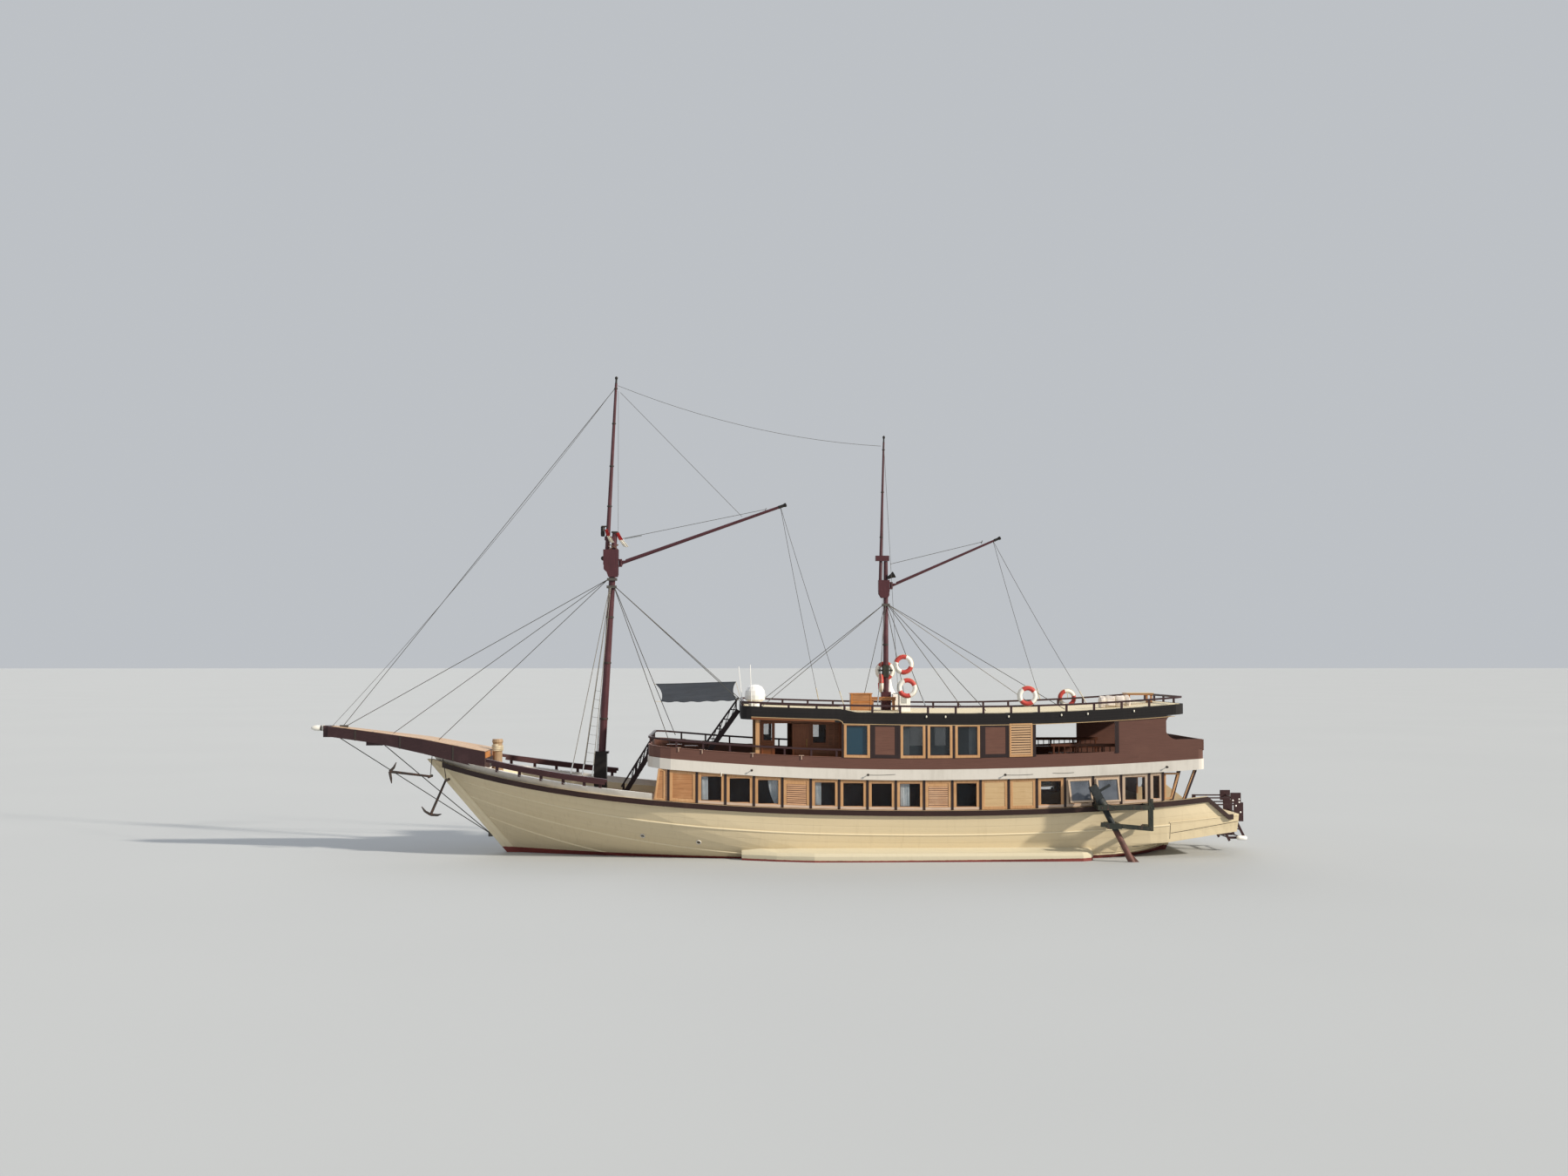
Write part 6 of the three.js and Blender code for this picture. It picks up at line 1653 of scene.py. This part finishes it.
sternFittings = {
    "beamY": 4.48, "bolt": ((0.028, -0.004), (0.028, 0.008), (0.018, 0.016), (0.004, 0.018)),
    "bolts": ((-9.72, 2.04), (-10.2, 2.04), (-10.9, 2.04), (-11.55, 2.28), (-11.55, 2.04), (-9.85, 1.42),
              (-10.5, 1.36), (-11.1, 1.31), (-11.55, 1.27), (-11.55, 1.65)),
    # the iron plates on each beam: x of their middles, half their breadth, and the beams' middles and depths
    "plateX": (-9.95, -11.2), "plateHalf": 0.035, "beams": ((2.04, 0.17), (1.34, 0.16)),
    "spotY": 0.735, "spot": ((0.034, -0.004), (0.034, 0.006), (0.02, 0.012), (0.003, 0.013)),
    "spots": ((-16.03, 2.03), (-15.78, 1.98), (-16.03, 1.91), (-15.90, 1.77), (-16.08, 1.52), (-15.92, 1.33)),
    "fender": (-16.08, 0.83, 0.52), "fenderWay": (1, 0, 0.03),
    "fenderProfile": ((0.02, -0.21), (0.055, -0.20), (0.085, -0.16), (0.092, -0.05), (0.092, 0.06),
                      (0.085, 0.14), (0.05, 0.19), (0.02, 0.2)),
}


def makeSternFittings(s):
    y = s["beamY"]
    half = s["plateHalf"]
    irons = [turned((x, y, z), s["bolt"], axis=(0, 1, 0), sides=8) for x, z in s["bolts"]]
    for z, depth in s["beams"]:
        for x in s["plateX"]:
            irons.append(board(sideCorners(x - half, x + half, z - depth / 2, z + depth / 2, y), 0.006))
    makePiece("rudder_frame_irons", bothSides(irons), "anchor_iron")
    spots = [turned((x, s["spotY"], z), s["spot"], axis=(0, 1, 0), sides=10) for x, z in s["spots"]]
    makePiece("stage_bolt_plates", bothSides(spots), "white_shell")
    fender = turned(s["fender"], s["fenderProfile"], axis=s["fenderWay"], sides=18)
    makePiece("ladder_fender", [fender], "white_shell")


makeSternFittings(sternFittings)
print("mastheads and stern fittings made")


# Cloth: awning, rolled cover and the two flags

cloth = {
    "awning": {"portAft": (3.80, 2.46, 5.985), "portFwd": (6.66, 2.46, 5.93), "boardAft": (3.80, -2.23, 6.62),
               "boardFwd": (7.06, -2.20, 6.53), "sag": 0.05, "pull": 0.13, "scallop": 0.018,
               # where the line from each corner is made fast
               "fast": {"portFwd": (6.915, 2.50, 5.945), "boardFwd": (7.15, -2.18, 6.53),
                        "portAft": (3.735, 2.485, 6.02), "boardAft": (3.63, -2.45, 6.02)}},
    "cover": {"aft": -11.43, "fwd": -10.20, "y": 1.98, "z": 5.905, "radius": 0.24, "ties": (0.2, 0.5, 0.8)},
    # top of the hoist, breadth, drop and how far it leans forward as a share of its drop
    "flags": (((8.95, 0.14, 12.70), 0.30, 0.55, -0.42), ((8.50, 0.12, 12.56), 0.34, 0.58, -0.62)),
}


def meshLength(points):  # the length of a line of points
    return float(np.linalg.norm(np.diff(points, axis=0), axis=1).sum())


def awningPoints(a, u, v):
    # u runs aft to forward and v port to starboard; free edges draw in as 4 s (1 - s), and the middle sags
    u, v = u[..., None], v[..., None]
    port = np.array(a["portAft"]) * (1 - u) + np.array(a["portFwd"]) * u
    starboard = np.array(a["boardAft"]) * (1 - u) + np.array(a["boardFwd"]) * u
    flat = port * (1 - v) + starboard * v
    flat[..., 0:1] += 4 * v * (1 - v) * a["pull"] * (1 - 2 * u)
    flat[..., 1:2] -= 4 * u * (1 - u) * (1 - 2 * v) * a["pull"] * 0.5
    hang = 16 * u * (1 - u) * v * (1 - v) * a["sag"] + 4 * u * (1 - u) * (1 - v) ** 4 * 0.02
    ripple = np.cos(u * math.tau * 5) * a["scallop"] * (1 - v) ** 5 + np.sin(v * 19 + u * 7) * 0.004
    flat[..., 2:3] += ripple - hang
    return flat


def makeAwning(a):
    u, v = np.meshgrid(np.linspace(0, 1, 46), np.linspace(0, 1, 56))
    points = awningPoints(a, u, v)
    piece = makePiece("awning_cloth", [grid(points)], "canvas", smooth=180.0)
    # the hem runs round the four edges in turn
    s = np.linspace(0, 1, 24)[:-1]
    zero = 0 * s
    edge = [awningPoints(a, *pair) for pair in ((s, zero), (zero + 1, s), (1 - s, zero + 1), (zero, 1 - s))]
    loop = tube(np.concatenate(edge), 0.012, 6, closed=True)
    hem = makePiece("awning_hem", [loop], "canvas")
    lines = [wire(a[corner], place, 0.009, 0.0, 2, 6) for corner, place in a["fast"].items()]
    ropes = makePiece("awning_ties", lines, "pale_rope")
    long, wide = meshLength(points[28]), meshLength(points[:, 23])
    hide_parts("awning")


makeAwning(cloth["awning"])


def coverRadius(c, s, turn):
    # a roll drawn in at its ties, with long folds round it, and closed to a bunch at both ends
    tied = sum(np.exp(-((s - t) / 0.035) ** 2) for t in c["ties"])
    folds = 0.014 * np.sin(5 * turn + 6 * s) + 0.009 * np.sin(11 * turn - 9 * s)
    folds = folds + 0.006 * np.sin(3 * turn + 21 * s)
    ends = np.clip(np.minimum(s / 0.07, (1 - s) / 0.03), 0, 1) ** 0.45
    return (c["radius"] + folds * (0.5 + ends / 2) - 0.022 * tied) * np.maximum(ends, 0.05)


def coverPoint(c, s, turn, radius, floor):
    # a point round the roll, which is a little broader than high and lies on the roof
    x = c["aft"] + (c["fwd"] - c["aft"]) * s
    z = np.maximum(c["z"] - 0.03 * s + radius * np.sin(turn), roofZ(x) + floor)
    return np.stack([x, c["y"] + radius * np.cos(turn) * 1.05, z], -1)


def makeCover(c):
    s, turn = np.meshgrid(np.linspace(0, 1, 84), np.arange(72) / 72 * math.tau, indexing="ij")
    points = coverPoint(c, s, turn, coverRadius(c, s, turn), 0.016 + 0.004 * np.sin(9 * turn))
    cover = grid(points, around=True, caps=True)
    roll = makePiece("cover_roll", [cover], "cover_canvas", smooth=180.0)
    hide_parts("rolled_cover")
    turn = np.arange(36) / 36 * math.tau
    ties = []
    for t in c["ties"]:
        s = np.full(36, t)
        ring = coverPoint(c, s, turn, coverRadius(c, s, turn) + 0.006, 0.014)
        ties.append(tube(ring, 0.010, 6, up=(1, 0, 0), closed=True))
    makePiece("cover_ties", ties, "pale_rope")


makeCover(cloth["cover"])


def makeFlag(name, top, width, drop, lean, folds=3):
    # a limp flag: hangs from its hoist in deep upright folds, the upper half red and the lower half white
    rows, columns = 31, 40
    u, v = np.meshgrid(np.linspace(0, 1, columns), np.linspace(0, 1, rows))
    gather = 0.35 + 0.25 * v
    x = top[0] + width * gather * (u - 0.5) + lean * drop * v * (0.6 + 0.4 * v)
    y = top[1] + 0.035 * (0.4 + 0.6 * v) * np.sin(u * folds * math.tau) + 0.01 * np.sin(v * 8 + u * 3)
    z = top[2] - drop * v - 0.05 * u * (1 - v) + 0.012 * np.sin(u * 9)
    points = np.stack([x, y, z], -1)
    piece = makePiece(name, [grid(points)], "red_cloth", smooth=180.0)
    piece.data.materials.append(looks["white_cloth"].material)
    for polygon in piece.data.polygons:
        polygon.material_index = int(polygon.index // (columns - 1) >= rows // 2)
    wide, long = meshLength(points[rows // 2]), meshLength(points[:, columns // 2])


for number, flag in enumerate(cloth["flags"]):
    makeFlag("flag_%d" % number, *flag)
print("cloth made")
